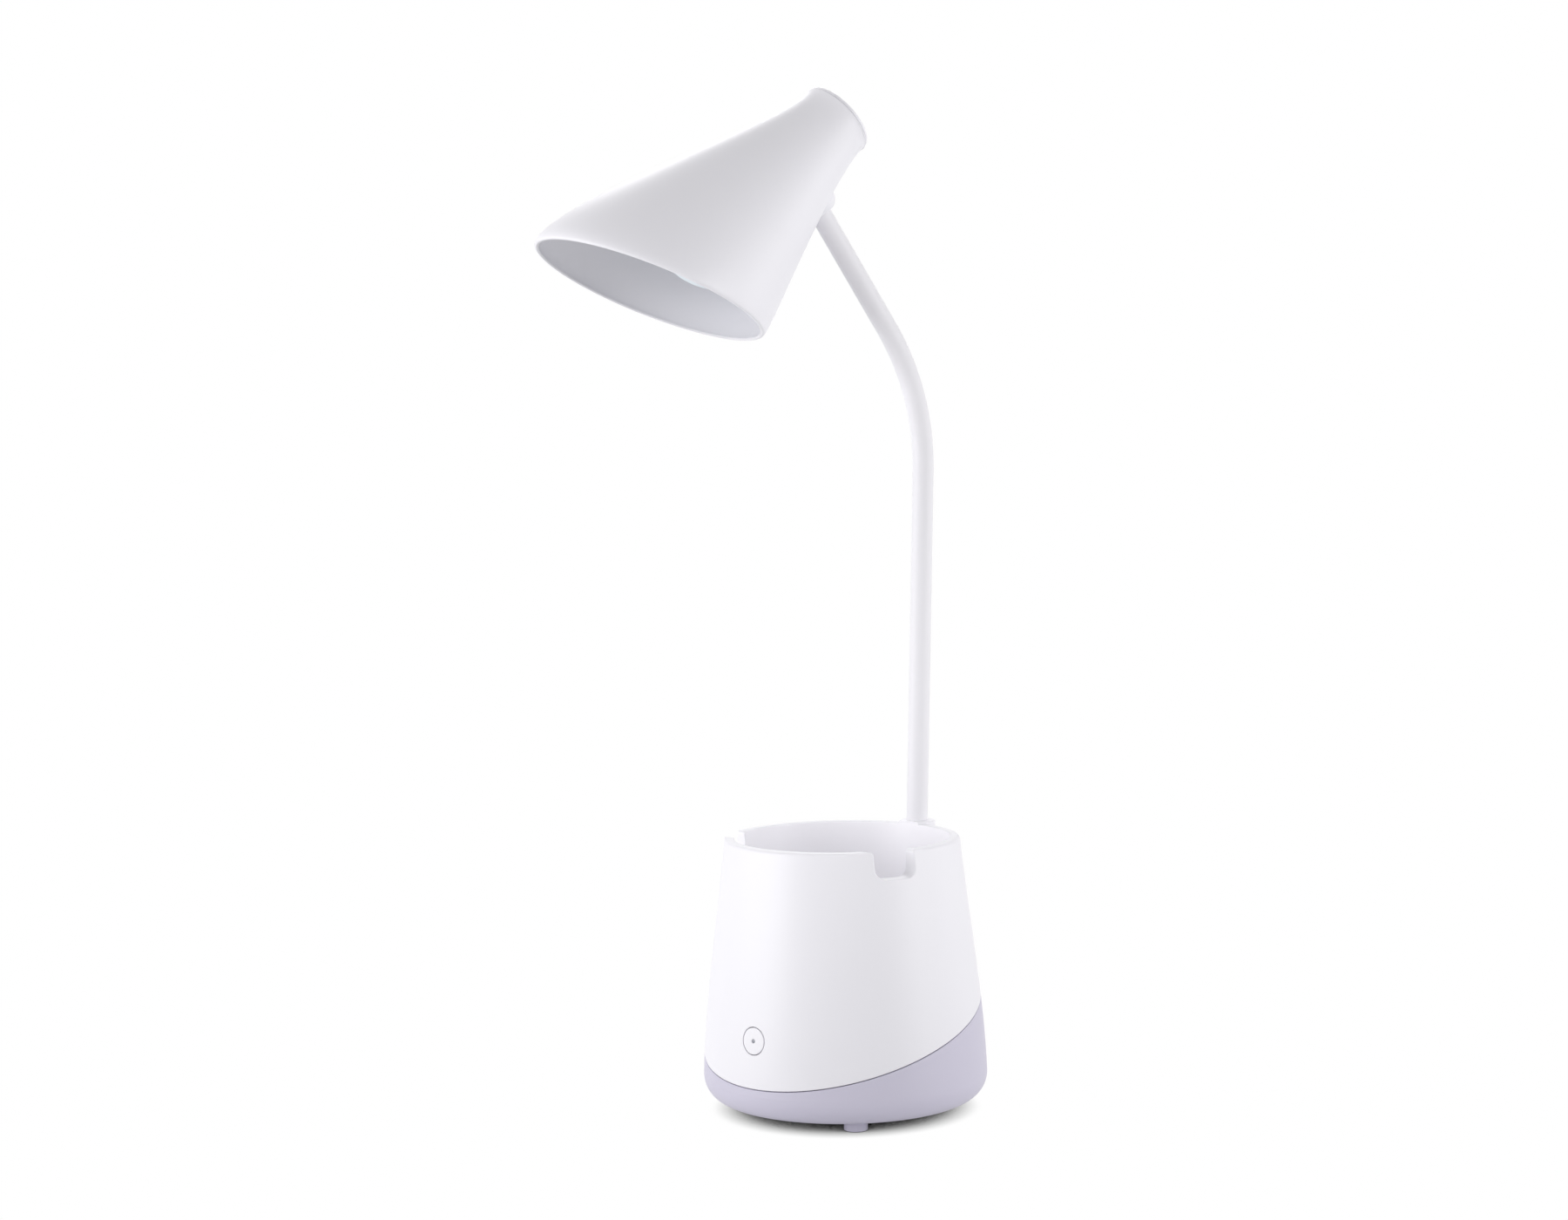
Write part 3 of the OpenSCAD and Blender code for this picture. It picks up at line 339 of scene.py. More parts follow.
def arc(centre, radius, start, end, steps):
    """Points on a circular arc in the profile plane, angles in degrees from the outward direction."""
    return [(centre[0] + radius * c, centre[1] + radius * si) for c, si in turns(start, end, steps + 1)]


def finish(piece, body, slot, material, *nodes):
    """Gives a piece its material and its body, and hides the nodes that it stands for. The slot is not used."""
    piece.data.materials.clear()
    piece.data.materials.append(bpy.data.materials[material])
    if body:
        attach(piece, body)
    if nodes:
        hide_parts(*nodes)
    return piece


def line(piece, material, inside):
    """Gives the faces inside a piece a second material; inside tells them by their middles and normals."""
    mesh = piece.data
    mesh.materials.append(bpy.data.materials[material])
    middles, normals = np.empty((2, len(mesh.polygons) * 3))
    mesh.polygons.foreach_get("center", middles)
    mesh.polygons.foreach_get("normal", normals)
    chosen = inside(middles.reshape(-1, 3), normals.reshape(-1, 3))
    mesh.polygons.foreach_set("material_index", chosen.astype(np.int32))


# ---- the base's form

# How much of the taper comes with the first, second and third power of the height.
TAPER = (0.312, 1.428, -0.740)


def base_radius(z):
    """Outer radius of the base at height z."""
    s = sizes()
    z = np.asarray(z, float)
    u = np.clip((z - s.widest_height) / (s.rim_height - s.widest_height), 0, None)
    upper = s.base_radius - (s.base_radius - s.rim_radius) * (TAPER[0] * u + TAPER[1] * u**2 + TAPER[2] * u**3)
    low = np.clip((s.widest_height - z) / (s.widest_height - s.underside), 0, 1)
    return np.where(z >= s.widest_height, upper, s.base_radius - s.bottom_round * (1 - np.sqrt(1 - low**2)))


def body_radius(turn, z):
    """The base's outer radius with the upright spine of the neck's boss blended in at the back."""
    s = sizes()
    off = np.abs((np.asarray(turn) - math.pi / 2 + math.pi) % TAU - math.pi)
    edge = math.asin(s.boss_radius / s.neck_back)
    inside = np.clip(s.boss_radius**2 - (s.neck_back * np.sin(np.minimum(off, edge)))**2, 0, None)
    spine = s.neck_back * np.cos(np.minimum(off, edge)) + np.sqrt(inside) - np.clip(off - edge, 0, None) * 0.5
    skin = base_radius(z)
    soft = 1.0 * MM
    h = np.clip(0.5 + 0.5 * (spine - skin) / soft, 0, 1)
    return skin * (1 - h) + spine * h + soft * h * (1 - h)


def skin_point(turn, z, inset=0.0):
    r = body_radius(turn, z) - inset
    return np.stack([r * np.cos(turn), r * np.sin(turn), np.broadcast_to(z, np.shape(r))], -1)


def skin_normal(turn, z):
    d = 1e-5
    r = body_radius(turn, z)
    by_turn = (body_radius(turn + d, z) - body_radius(turn - d, z)) / (2 * d) / r
    by_height = (body_radius(turn, z + d) - body_radius(turn, z - d)) / (2 * d)
    c, s = np.cos(turn), np.sin(turn)
    n = np.stack([c + by_turn * s, s - by_turn * c, -by_height], -1)
    return n / np.linalg.norm(n, axis=-1, keepdims=True)


def cup_radius(z):
    s = sizes()
    return s.cup_floor_radius + (s.cup_radius - s.cup_floor_radius) * (z - s.cup_floor) / (s.rim_height - s.cup_floor)


def seam_height(turn, offset, inset=0.0):
    """Height of the slanted joint at the skin, moved by offset along the joint's normal."""
    s = sizes()
    middle, slope = s.seam_height + offset / math.cos(s.seam_slant), math.tan(s.seam_slant)
    z = np.full(np.shape(turn), s.seam_height)
    for _ in range(8):
        z = middle + slope * (body_radius(turn, z) - inset) * np.sin(turn)
    return z


def smooth(t):
    t = np.clip(t, 0, 1)
    return t * t * (3 - 2 * t)


def slot_outline(step):
    """The phone slot's outline across its run, front to back: rows of y, z and the normal that points into the slot."""
    s = sizes()
    half, floor, top = s.slot_width / 2, s.rim_height - s.slot_depth, s.rim_height
    r, lead = s.slot_corner, s.slot_lead_in
    rows = []

    def arc_rows(y, z, radius, a0, a1, sign):
        n = max(6, int(abs(a1 - a0) * radius / step))
        for a in np.linspace(a0, a1, n + 1):
            c, si = math.cos(a), math.sin(a)
            rows.append((y + radius * c, z + radius * si, sign * c, sign * si))

    def line_rows(a, b, normal):
        n = max(2, int(math.dist(a, b) / step))
        for t in np.linspace(0, 1, n + 1)[1:-1]:
            rows.append((a[0] + (b[0] - a[0]) * t, a[1] + (b[1] - a[1]) * t, *normal))

    arc_rows(-half - lead, top - lead, lead, math.pi / 2, 0, 1)
    line_rows((-half, top - lead), (-half, floor + r), (1, 0))
    arc_rows(-half + r, floor + r, r, math.pi, 1.5 * math.pi, -1)
    line_rows((-half + r, floor), (half - r, floor), (0, 1))
    arc_rows(half - r, floor + r, r, -math.pi / 2, 0, -1)
    line_rows((half, floor + r), (half, top - lead), (-1, 0))
    arc_rows(half + lead, top - lead, lead, math.pi, math.pi / 2, 1)
    out = np.array(rows)
    out[:, 0] -= s.slot_front
    return out


def rim_columns():
    """Columns round the rim from the front middle.

    Gives the edge's angle on the skin, in the cup and under the rim, its height, the top's normal, and how far
    it is clear of the slots.
    """
    s = sizes()
    slot = slot_outline(0.6 * MM)
    y, z = slot[:, 0], slot[:, 1]
    out, into = np.arcsin(y / base_radius(z)), np.arcsin(y / cup_radius(z))
    back, lap, spine = math.pi / 2, 1.5 * math.pi, math.radians(16)
    behind = np.concatenate([
        np.linspace(out[-1], back - spine, 58)[1:-1],
        np.linspace(back - spine, back + spine, 89),
        np.linspace(back + spine, math.pi - out[-1], 58)[1:-1]])
    right = np.linspace(-back, out[0], 38)[:-1]
    left = np.linspace(math.pi - out[0], lap, 38)[1:-1]
    turn = np.concatenate([right, out, behind, math.pi - out[::-1], left])
    ends, inner_ends = ((a[0], a[-1], math.pi - a[-1], math.pi - a[0]) for a in (out, into))
    turn_in = np.interp(turn, (-back, *ends, lap), (-back, *inner_ends, lap))
    height = np.full(len(turn), s.rim_height)
    normal = np.repeat([[0, 0, 1.0]], len(turn), 0)
    in_slot = np.zeros(len(turn), bool)
    face = np.stack([0 * y, slot[:, 2], slot[:, 3]], 1)
    n = len(out)
    first, second = len(right), len(right) + n + len(behind)
    for at, way, angles in ((first, 1, into), (second, -1, math.pi - into)):
        run = slice(at, at + n)
        turn_in[run], height[run], normal[run], in_slot[run] = angles[::way], z[::way], face[::way], True
    gap = np.min([np.abs(turn - end) for end in ends], 0)
    away = np.where(in_slot, 0, smooth(gap * s.rim_radius / (7 * MM)))
    low = turn.copy()
    margin = math.radians(9)
    for a, b in (ends[:2], ends[2:]):
        fan = np.flatnonzero((turn > a - margin) & (turn < b + margin))
        fan = np.arange(fan[0], fan[-1] + 1)
        step = np.hypot(s.rim_radius * np.diff(turn[fan]), np.diff(height[fan]))
        run = np.concatenate([[0], np.cumsum(step)]) / step.sum()
        low[fan] = turn[fan[0]] + (turn[fan[-1]] - turn[fan[0]]) * run
    return turn, turn_in, low, height, normal, away


def edge_rows(edge, side, top, radius, steps=5):
    """Rows of a rounded edge from the side face to the top face at each column's edge point."""
    dot = (side * top).sum(1, keepdims=True)
    radius = radius[:, None]
    centre = edge - radius * (side + top) / (1 + dot)
    spread = np.arccos(np.clip(dot, -1, 1))
    rows = []
    for t in np.linspace(0, 1, steps + 1):
        d = (np.sin((1 - t) * spread) * side + np.sin(t * spread) * top) / np.sin(spread)
        rows.append(centre + radius * d)
    return rows


def turn_of(points, near):
    """The points' angles about Z, taken on the same lap as those near them."""
    turn = np.arctan2(points[:, 1], points[:, 0])
    return turn + TAU * np.round((near - turn) / TAU)


def base_shell():
    """The pale shell: skin, rounded rim with the phone slot, pen cup and boss, as one closed skin."""
    s = sizes()
    turn, turn_in, low, height, top, away = rim_columns()
    # outer edge, sharper in the slots than on the rim
    slot_round, cup_round, cup_round_more = 0.55, 0.5, 0.25
    outer_round = (slot_round + (s.rim_round / MM - slot_round) * away) * MM
    outer = edge_rows(skin_point(turn, height), skin_normal(turn, height), top, outer_round, 6)
    # inner edge, at the cup's wall
    slope = (s.cup_radius - s.cup_floor_radius) / (s.rim_height - s.cup_floor)
    inward = np.stack([-np.cos(turn_in), -np.sin(turn_in), np.full(len(turn), slope)], 1)
    inward /= np.linalg.norm(inward, axis=1, keepdims=True)
    inner_edge = flat_ring(turn_in, cup_radius(height), height)
    inner = edge_rows(inner_edge, inward, top, (cup_round + cup_round_more * away) * MM, 5)
    # skin from the joint up to the outer edge
    seam = seam_height(low, s.seam_gap / 2)
    lip = 0.35 * MM
    rings = [skin_point(low, seam, s.wall)]
    rings += [skin_point(low, seam + lip * (1 + si), lip * (1 - c)) for c, si in turns(-90, 0, 5)]
    z0 = seam + lip
    under_rim = turn_of(outer[0], turn)
    for v in np.linspace(0, 1, 34)[1:-1]:
        v = 1 - (1 - v) ** 1.25
        rings.append(skin_point(low + (under_rim - low) * v**1.5, z0 + (outer[0][:, 2] - z0) * v))
    rings += outer
    rings += [outer[-1] + (inner[-1] - outer[-1]) * t for t in (0.33, 0.67)]
    rings += inner[::-1]
    # down the cup's wall and over its floor
    corner = 5 * MM
    z1 = s.cup_floor + corner
    in_cup = turn_of(inner[0], turn_in)
    for v in np.linspace(0, 1, 26)[1:]:
        w = 1 - (1 - v) ** 1.5
        z = inner[0][:, 2] + (z1 - inner[0][:, 2]) * v
        rings.append(flat_ring(in_cup + (low - in_cup) * w, cup_radius(z), z))
    r1 = float(cup_radius(z1))
    rings += [flat_ring(low, r1 - corner * (1 - c), z1 - corner * si) for c, si in turns(0, 90, 9)[1:]]
    rings += [flat_ring(low, r * MM, s.cup_floor) for r in (28, 20, 12, 5)]
    rings.append(np.array([[0, 0, s.cup_floor]]))
    # the hidden side: under the cup's floor, up its wall and down inside the skin
    cup_wall, chamfer = 1.8 * MM, 2 * MM
    roof, under = s.rim_height - s.slot_depth - cup_wall, s.cup_floor - cup_wall
    low_radius, high_radius = (float(cup_radius(z)) + cup_wall for z in (under, roof))
    rings.append(np.array([[0, 0, under]]))
    rings += [flat_ring(low, 20 * MM, under), flat_ring(low, low_radius - chamfer, under)]
    rings += [flat_ring(low, low_radius, under + chamfer), flat_ring(low, high_radius, roof)]
    rings += [skin_point(low, seam + (roof - seam) * v, s.wall) for v in np.linspace(1, 0, 12)[:-1]]
    shell = skin_between_poles("lamp_shell", rings)
    cut(shell, key_cutter())
    return shade_smooth(join_meshes("lamp_shell", [shell, boss_pad()]))


def boss_pad():
    """The low round boss on the rim that the neck rises from, trimmed flush with the cup's wall."""
    s = sizes()
    z, top, edge = s.rim_height, s.rim_height + 1.1 * MM, 0.8 * MM
    r = s.boss_radius + 0.05 * MM
    profile = [(0, z - 5 * MM), (r - 0.4 * MM, z - 5 * MM), (r - 0.1 * MM, z - 3 * MM), (r, z - 1.5 * MM)]
    profile += arc((r - edge, z + 0.05 * MM), edge, 0, 80, 6)
    profile += [(s.neck_radius + 1.2 * MM, z + 0.95 * MM), (s.neck_radius + 0.3 * MM, top)]
    profile += [(s.neck_radius * 0.8, top), (0, top)]
    pad = revolve("boss_pad", profile, Matrix.Translation((0, s.neck_back, 0)), 96)
    least = s.cup_radius + 0.1 * MM
    for v in pad.data.vertices:
        x, y = v.co.x, v.co.y
        r = math.hypot(x, y)
        if r < least:
            v.co.x, v.co.y = x * least / r, y * least / r
    return pad


def key_frame():
    """The touch key's middle on the skin, and its outward, across and up directions."""
    front, z = np.array([-math.pi / 2]), np.array([sizes().key_height])
    n = skin_normal(front, z)[0]
    across = np.array([1.0, 0, 0])
    return skin_point(front, z)[0], n, across, np.cross(n, across)


def key_ring(radius, depth, steps=96):
    """A ring round the touch key that follows the skin, at a depth under it."""
    middle, n, across, up = key_frame()
    a = np.arange(steps) * TAU / steps
    flat = middle + radius * (np.cos(a)[:, None] * across + np.sin(a)[:, None] * up)
    x, z = flat[:, 0], flat[:, 2]
    on_skin = np.stack([x, -np.sqrt(base_radius(z)**2 - x**2), z], 1)
    return on_skin - depth * n


KEY_EDGE = 0.25 * MM


def key_cutter():
    """The hole for the touch key, a groove's width larger than the key, with a rounded edge."""
    s = sizes()
    hole = s.key_radius + s.key_groove
    middle, n, _, _ = key_frame()
    wide = hole + KEY_EDGE
    rings = [np.array([middle + 1 * MM * n]), key_ring(wide, -1 * MM), key_ring(wide, -0.01 * MM)]
    rings += [key_ring(hole + KEY_EDGE * (1 - si), KEY_EDGE * (1 - c)) for c, si in turns(0, 90, 5)[1:]]
    rings += [key_ring(hole, 4 * MM), np.array([middle - 4 * MM * n])]
    return rings_to_mesh("key_cutter", rings)


def touch_key():
    """The round touch key, flush with the skin, with a seat for its light."""
    r, light, back = sizes().key_radius, 0.78 * MM, 3.8 * MM
    flange = r + 1.4 * MM
    rings = [key_ring(light, 3.0 * MM), key_ring(light, 0.12 * MM), key_ring(light + 0.1 * MM, 0.02 * MM)]
    rings += [key_ring(at, 0.0) for at in np.linspace(1.4 * MM, r - KEY_EDGE, 8)]
    rings += [key_ring(r - KEY_EDGE * (1 - si), KEY_EDGE * (1 - c)) for c, si in turns(0, 90, 5)[1:]]
    rings += [key_ring(r, 2.9 * MM), key_ring(flange, 2.95 * MM), key_ring(flange, back), key_ring(light, back)]
    return shade_smooth(rings_to_mesh("lamp_touch_key", rings, closed_loop=True))


def key_light():
    """The small light in the key's middle, a clear rod with a soft domed end."""
    middle, n, _, _ = key_frame()
    rings = [np.array([middle - 3.6 * MM * n])]
    rings += [key_ring(r * MM, depth * MM, 40) for r, depth in ((0.7, 3.6), (0.7, 0.16), (0.62, 0.09), (0.35, 0.05))]
    rings.append(np.array([middle - 0.04 * MM * n]))
    return shade_smooth(rings_to_mesh("lamp_key_light", rings))


def base_housing():
    """The lilac lower housing with its locating lip, up to the slanted joint."""
    s = sizes()
    spine_from, spine_to = math.radians(74), math.radians(106.2)
    turn = np.sort(np.concatenate([
        np.linspace(spine_to - TAU, spine_from, 200, endpoint=False),
        np.linspace(spine_from, spine_to, 88, endpoint=False)]) % TAU)
    seam = seam_height(turn, -s.seam_gap / 2)
    edge, lip_in, lip_t, lip_h, floor_t = 0.35 * MM, 0.1 * MM, 1.2 * MM, 2.4 * MM, 2.4 * MM
    inset = s.wall + lip_in
    inner = inset + lip_t
    widest, top, floor, lip_top = s.widest_height, seam - edge, s.underside + floor_t, seam + lip_h
    rings = [skin_point(turn, seam, inset)]
    rings += [skin_point(turn, seam - edge * (1 - si), edge * (1 - c)) for c, si in turns(90, 0, 5)]
    rings += [skin_point(turn, top + (widest - top) * v) for v in np.linspace(0, 1, 12)[1:]]
    rings += [skin_point(turn, widest - (widest - s.underside) * si) for _, si in turns(0, 90, 15)[1:]]
    flat = float(base_radius(s.underside)) - 1.2 * MM
    rings += [flat_ring(turn, r, s.underside) for r in (flat, 34 * MM, 22 * MM, 10 * MM)]
    rings += [np.array([[0, 0, s.underside]]), np.array([[0, 0, floor]]), flat_ring(turn, 30 * MM, floor)]
    rings += [skin_point(turn, widest - (widest - floor) * si, inner) for _, si in turns(90, 0, 7)]
    rings += [skin_point(turn, widest + (lip_top - widest) * v, inner) for v in np.linspace(0, 1, 8)[1:]]
    rings.append(skin_point(turn, lip_top, inset))
    housing = skin_between_poles("lamp_housing", rings)
    cut(housing, socket_cutter())
    return shade_smooth(housing, 45)


def socket_cutter():
    """The capsule-shaped hole for the charging socket, with a small lead-in at the skin."""
    low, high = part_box("usb_socket")
    middle, room, depth, out = (low + high) / 2, 0.25 * MM, 9 * MM, 3 * MM
    half_h, half_w = (high.z - low.z) / 2 + room, (high.x - low.x) / 2 + room
    side = half_w - half_h
    outline = []
    for sign, start in ((1, -math.pi / 2), (-1, math.pi / 2)):
        for a in np.linspace(start, start + math.pi, 24):
            outline.append((sign * side + half_h * math.cos(a), half_h * math.sin(a)))
    outline = np.array(outline)
    outward = outline / np.linalg.norm(outline, axis=1, keepdims=True)
    mouth = high.y + 0.5 * MM
    lead_in = ((0, -depth), (0, -0.55 * MM), (0.12 * MM, -0.3 * MM), (0.45 * MM, 0.1 * MM), (0.6 * MM, out))
    rings = [np.array([[middle.x, mouth - depth, middle.z]])]
    for grow, ahead in lead_in:
        o = outline + outward * grow
        rings.append(np.stack([middle.x + o[:, 0], np.full(len(o), mouth + ahead), middle.z + o[:, 1]], 1))
    rings.append(np.array([[middle.x, mouth + out, middle.z]]))
    return rings_to_mesh("socket_cutter", rings)


# ---- the neck's line


NECK_FOOT = 0.8 * MM  # height of the neck's foot above the rim


def neck_line(at):
    """Point (forward, up) and angle of the neck's line, in its own upright plane, at a distance from its foot."""
    s = sizes()
    bend = s.neck_bend_radius * s.neck_bend
    straight = min(at, s.neck_low)
    a = s.neck_lean
    u, z = straight * math.sin(a), s.rim_height + NECK_FOOT + straight * math.cos(a)
    if at > s.neck_low:
        a += min(at - s.neck_low, bend) / s.neck_bend_radius
        u += s.neck_bend_radius * (math.cos(s.neck_lean) - math.cos(a))
        z += s.neck_bend_radius * (math.sin(a) - math.sin(s.neck_lean))
    if at > s.neck_low + bend:
        rest = at - s.neck_low - bend
        u, z = u + rest * math.sin(a), z + rest * math.cos(a)
    return u, z, a


def head_plane():
    """Places the neck's own plane: X forward, Y across, Z up."""
    s = sizes()
    return Matrix.Translation((0, s.neck_back, 0)) @ Matrix.Rotation(-math.pi / 2 - s.head_yaw, 4, "Z")


def at_neck(at):
    u, z, a = neck_line(at)
    return head_plane() @ Matrix.Translation((u, 0, z)) @ Matrix.Rotation(a, 4, "Y")


def neck_length():
    s = sizes()
    return s.neck_low + s.neck_bend_radius * s.neck_bend + s.neck_top


def neck_stations():
    """Distances along the neck of its ends and its seven joints."""
    s = sizes()
    bend = s.neck_bend_radius * s.neck_bend
    low = [s.neck_low * k / 4 for k in range(5)]
    return low + [s.neck_low + bend / 2, s.neck_low + bend, s.neck_low + bend + s.neck_top / 2, neck_length()]


def sleeve_tree(material):
    """Geometry Nodes: a round sleeve swept along a curve, with closed ends."""
    tree, n, ids = geometry_tree(
        "Neck sleeve", {"Curve": "Geometry", "Radius": "Float", "Sides": "Int"}, "Sleeve", material,
        ring="GeometryNodeCurvePrimitiveCircle", sweep="GeometryNodeCurveToMesh")
    set_inputs(n.sweep, Fill_Caps=True)
    wire(tree, n, "given.Radius > ring.Radius", "given.Sides > ring.Resolution", "given.Curve > sweep.Curve",
         "ring.Curve > sweep.Profile Curve", "sweep.Mesh > real.Geometry")
    return tree, ids


def with_tree(piece, tree, values):
    """Runs a tree on a piece, its inputs set by identifier, and freezes the result."""
    modifier = piece.modifiers.new(tree.name, "NODES")
    modifier.node_group = tree
    for identifier, value in values.items():
        modifier[identifier] = value
    piece = freeze(piece)
    tidy_normals(piece.data)
    return piece


def neck_sleeves():
    """The smooth sleeve in seven stretches, each running across one of the neck's joints."""
    s = sizes()
    in_boss, in_collar, spacing = 0.6 * MM, 3.5 * MM, 0.8 * MM
    stations = neck_stations()
    middles = [-in_boss] + [(stations[k] + stations[k + 1]) / 2 for k in range(1, 7)] + [neck_length() + in_collar]
    tree, ids = sleeve_tree(bpy.data.materials["Neck sleeve"])
    for k in range(7):
        a, b = middles[k], middles[k + 1]
        count = max(8, int((b - a) / spacing))
        curve = bpy.data.curves.new(f"lamp_sleeve_{k + 1}", "CURVE")
        curve.dimensions = "3D"
        spline = curve.splines.new("POLY")
        spline.points.add(count)
        for i in range(count + 1):
            at = a + (b - a) * i / count
            u, z, _ = neck_line(at) if at >= 0 else (0, s.rim_height + NECK_FOOT + at, 0)
            spline.points[i].co = (*(head_plane() @ Vector((u, 0, z))), 1)
        piece = with_tree(new_object(curve.name, curve), tree, {ids["Radius"]: s.neck_radius, ids["Sides"]: 64})
        piece.data.set_sharp_from_angle(angle=math.radians(50))
        last = k == 6
        finish(piece, None, "sleeve", "Neck sleeve", f"neck_sleeve_{k + 1}", *["neck_sleeve_8"] * last)
        reach = (11 if last else 13) * MM
        start, end = (at_neck(stations[k + 1] + way * reach).translation for way in (-1, 1))
        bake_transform(piece)


# ---- the shade's form

TIP, MOUTH = np.array([-25.8, 29.1]) * MM, np.array([77.5, 17.2]) * MM
TIP_PITCH, MOUTH_PITCH = math.radians(8.6), math.radians(33)
TIP_HANDLE, MOUTH_HANDLE = 14.2 * MM, 7.6 * MM
WIDTHS = np.array([15.4, 12.6, 48.4, 46.4]) * MM
TRAY_AT = 0.58  # the tray's place along the centre line
DIFFUSER_SEAT = 28 * MM


def bezier(points, t):
    a, b, c, d = points
    return a * (1 - t) ** 3 + 3 * b * t * (1 - t) ** 2 + 3 * c * t * t * (1 - t) + d * t**3


def heading(a):
    return np.array([math.cos(a), -math.sin(a)])


def spine_pitch(t):
    return TIP_PITCH + (MOUTH_PITCH - TIP_PITCH) * t**0.78


def spine_point(t):
    """Point (forward, up) on the shade's centre line, from the cap at 0 to the mouth at 1."""
    after_tip, before_mouth = TIP + TIP_HANDLE * heading(TIP_PITCH), MOUTH - MOUTH_HANDLE * heading(MOUTH_PITCH)
    return bezier((TIP, after_tip, before_mouth, MOUTH), t)


def horn_radius(t):
    return bezier(WIDTHS, t)


def at_spine(t):
    x, z = spine_point(t)
    tilt = Matrix.Rotation(math.pi / 2 + spine_pitch(t), 4, "Y")
    return at_neck(neck_length()) @ Matrix.Translation((x, 0, z)) @ tilt


def horn_ring(t, inset, ahead=0.0, sides=160):
    """One ring of the shade's skin, set in by inset and moved on by ahead."""
    a = spine_pitch(t)
    c = spine_point(t) + ahead * heading(a)
    r = horn_radius(t) - inset
    q = np.arange(sides) * TAU / sides
    return np.stack([c[0] + r * np.sin(q) * math.sin(a), r * np.cos(q), c[1] + r * np.sin(q) * math.cos(a)], 1)


def placed(rings, matrix):
    m = np.array(matrix)
    return [ring @ m[:3, :3].T + m[:3, 3] for ring in rings]


def shade():
    """The horn: outer skin, thin rounded lip, inner skin and the step that seats its end cap."""
    wall, rise, edge = sizes().shade_wall, 0.6 * MM, 0.35 * MM
    rings = [horn_ring(0, wall)]
    rings += [horn_ring(0, edge * (1 - c), edge * (1 + si)) for c, si in turns(-90, 0, 5)]
    rings += [horn_ring(t, 0) for t in np.linspace(0.012, 1, 72)]
    rings += [horn_ring(1, wall / 2 * (1 - c), rise * si) for c, si in turns(0, 180, 9)[1:-1]]
    rings += [horn_ring(t, wall) for t in np.linspace(1, 0, 60)[:-1]]
    horn = rings_to_mesh("lamp_shade", placed(rings, at_neck(neck_length())), closed_loop=True)
    return shade_smooth(horn, 50)


def shade_cap():
    """The cap on the shade's closed end, with a soft edge and a plug inside."""
    r, t, edge, deep = float(WIDTHS[0]), 1.6 * MM, 1.05 * MM, 4 * MM
    plug = r - sizes().shade_wall - 0.2 * MM
    plug_in = plug - 1.4 * MM
    profile = [(0, -t - 0.25 * MM), (r * 0.35, -t - 0.22 * MM), (r * 0.7, -t - 0.1 * MM)]
    profile += [(r - 1.3 * MM + edge * si, -t + edge * (1 - c)) for c, si in turns(0, 90, 8)]
    profile += [(r - 0.25 * MM, -0.25 * MM), (r - 0.45 * MM, -0.02 * MM), (plug, -0.02 * MM)]
    profile += [(plug, deep), (plug_in, deep), (plug_in, 0), (0, 0)]
    return shade_smooth(revolve("lamp_shade_cap", profile, at_spine(0), 160), 50)


def neck_collar():
    """The boss at the neck's entry to the shade, which flares out to meet the shade."""
    s = sizes()
    start, full, shoulder, top = 2.5 * MM, 8 * MM, 12 * MM, 15 * MM
    bore, root, flare = s.neck_radius + 0.12 * MM, s.neck_radius + 0.5 * MM, s.flare_radius - 1.1 * MM
    profile = [(bore, start + 0.9 * MM), (bore, start + 0.3 * MM), (bore + 0.1 * MM, start + 0.06 * MM)]
    for a in np.linspace(0.02, math.pi / 2, 16):
        profile.append((root + (flare - root) * math.sin(a), start + (full - start) * (1 - math.cos(a))))
    profile += [(flare, shoulder), (s.collar_radius, shoulder + 0.6 * MM), (s.collar_radius, top), (bore, top)]
    return shade_smooth(revolve("lamp_collar", profile, at_neck(neck_length()), 96), 50)


def diffuser():
    """The frosted dome, a thin closed skin seated on its tray."""
    outer, wall, foot = sizes().diffuser_radius, 1.4 * MM, 1.8 * MM
    inner, drop = outer - wall, math.sqrt(outer**2 - DIFFUSER_SEAT**2)
    outer_edge, inner_edge = math.asin(DIFFUSER_SEAT / outer), math.acos((drop + foot) / inner)
    profile = [(outer * si, outer * c - drop) for c, si in turns(0, math.degrees(outer_edge), 36)]
    profile += [(inner * si, inner * c - drop) for c, si in turns(math.degrees(inner_edge), 0, 24)]
    return shade_smooth(revolve("lamp_diffuser", profile, at_spine(TRAY_AT), 128), 50)


def lamp_tray():
    """The white tray behind the diffuser, with the raised ring that holds it."""
    t, seat, ring, soft = 2 * MM, DIFFUSER_SEAT, 2.0 * MM, 0.4 * MM
    r = float(horn_radius(TRAY_AT)) - sizes().shade_wall - 0.35 * MM
    profile = [(0, -t), (r - t * 0.78, -t), (r - 0.1 * MM, -0.3 * MM), (r - 0.35 * MM, 0), (seat + 1.6 * MM, 0)]
    profile += [(seat + 1.25 * MM, 0.2 * MM), (seat + 1.2 * MM, ring)]
    profile += arc((seat + 0.8 * MM, ring), soft, 0, 90, 4)
    profile += [(seat + 0.35 * MM, 2.4 * MM), (seat + 0.12 * MM, 2.2 * MM), (seat + 0.12 * MM, 0.02 * MM), (0, 0.0)]
    return shade_smooth(revolve("lamp_tray_dish", profile, at_spine(TRAY_AT), 144), 40)


# ---- feet


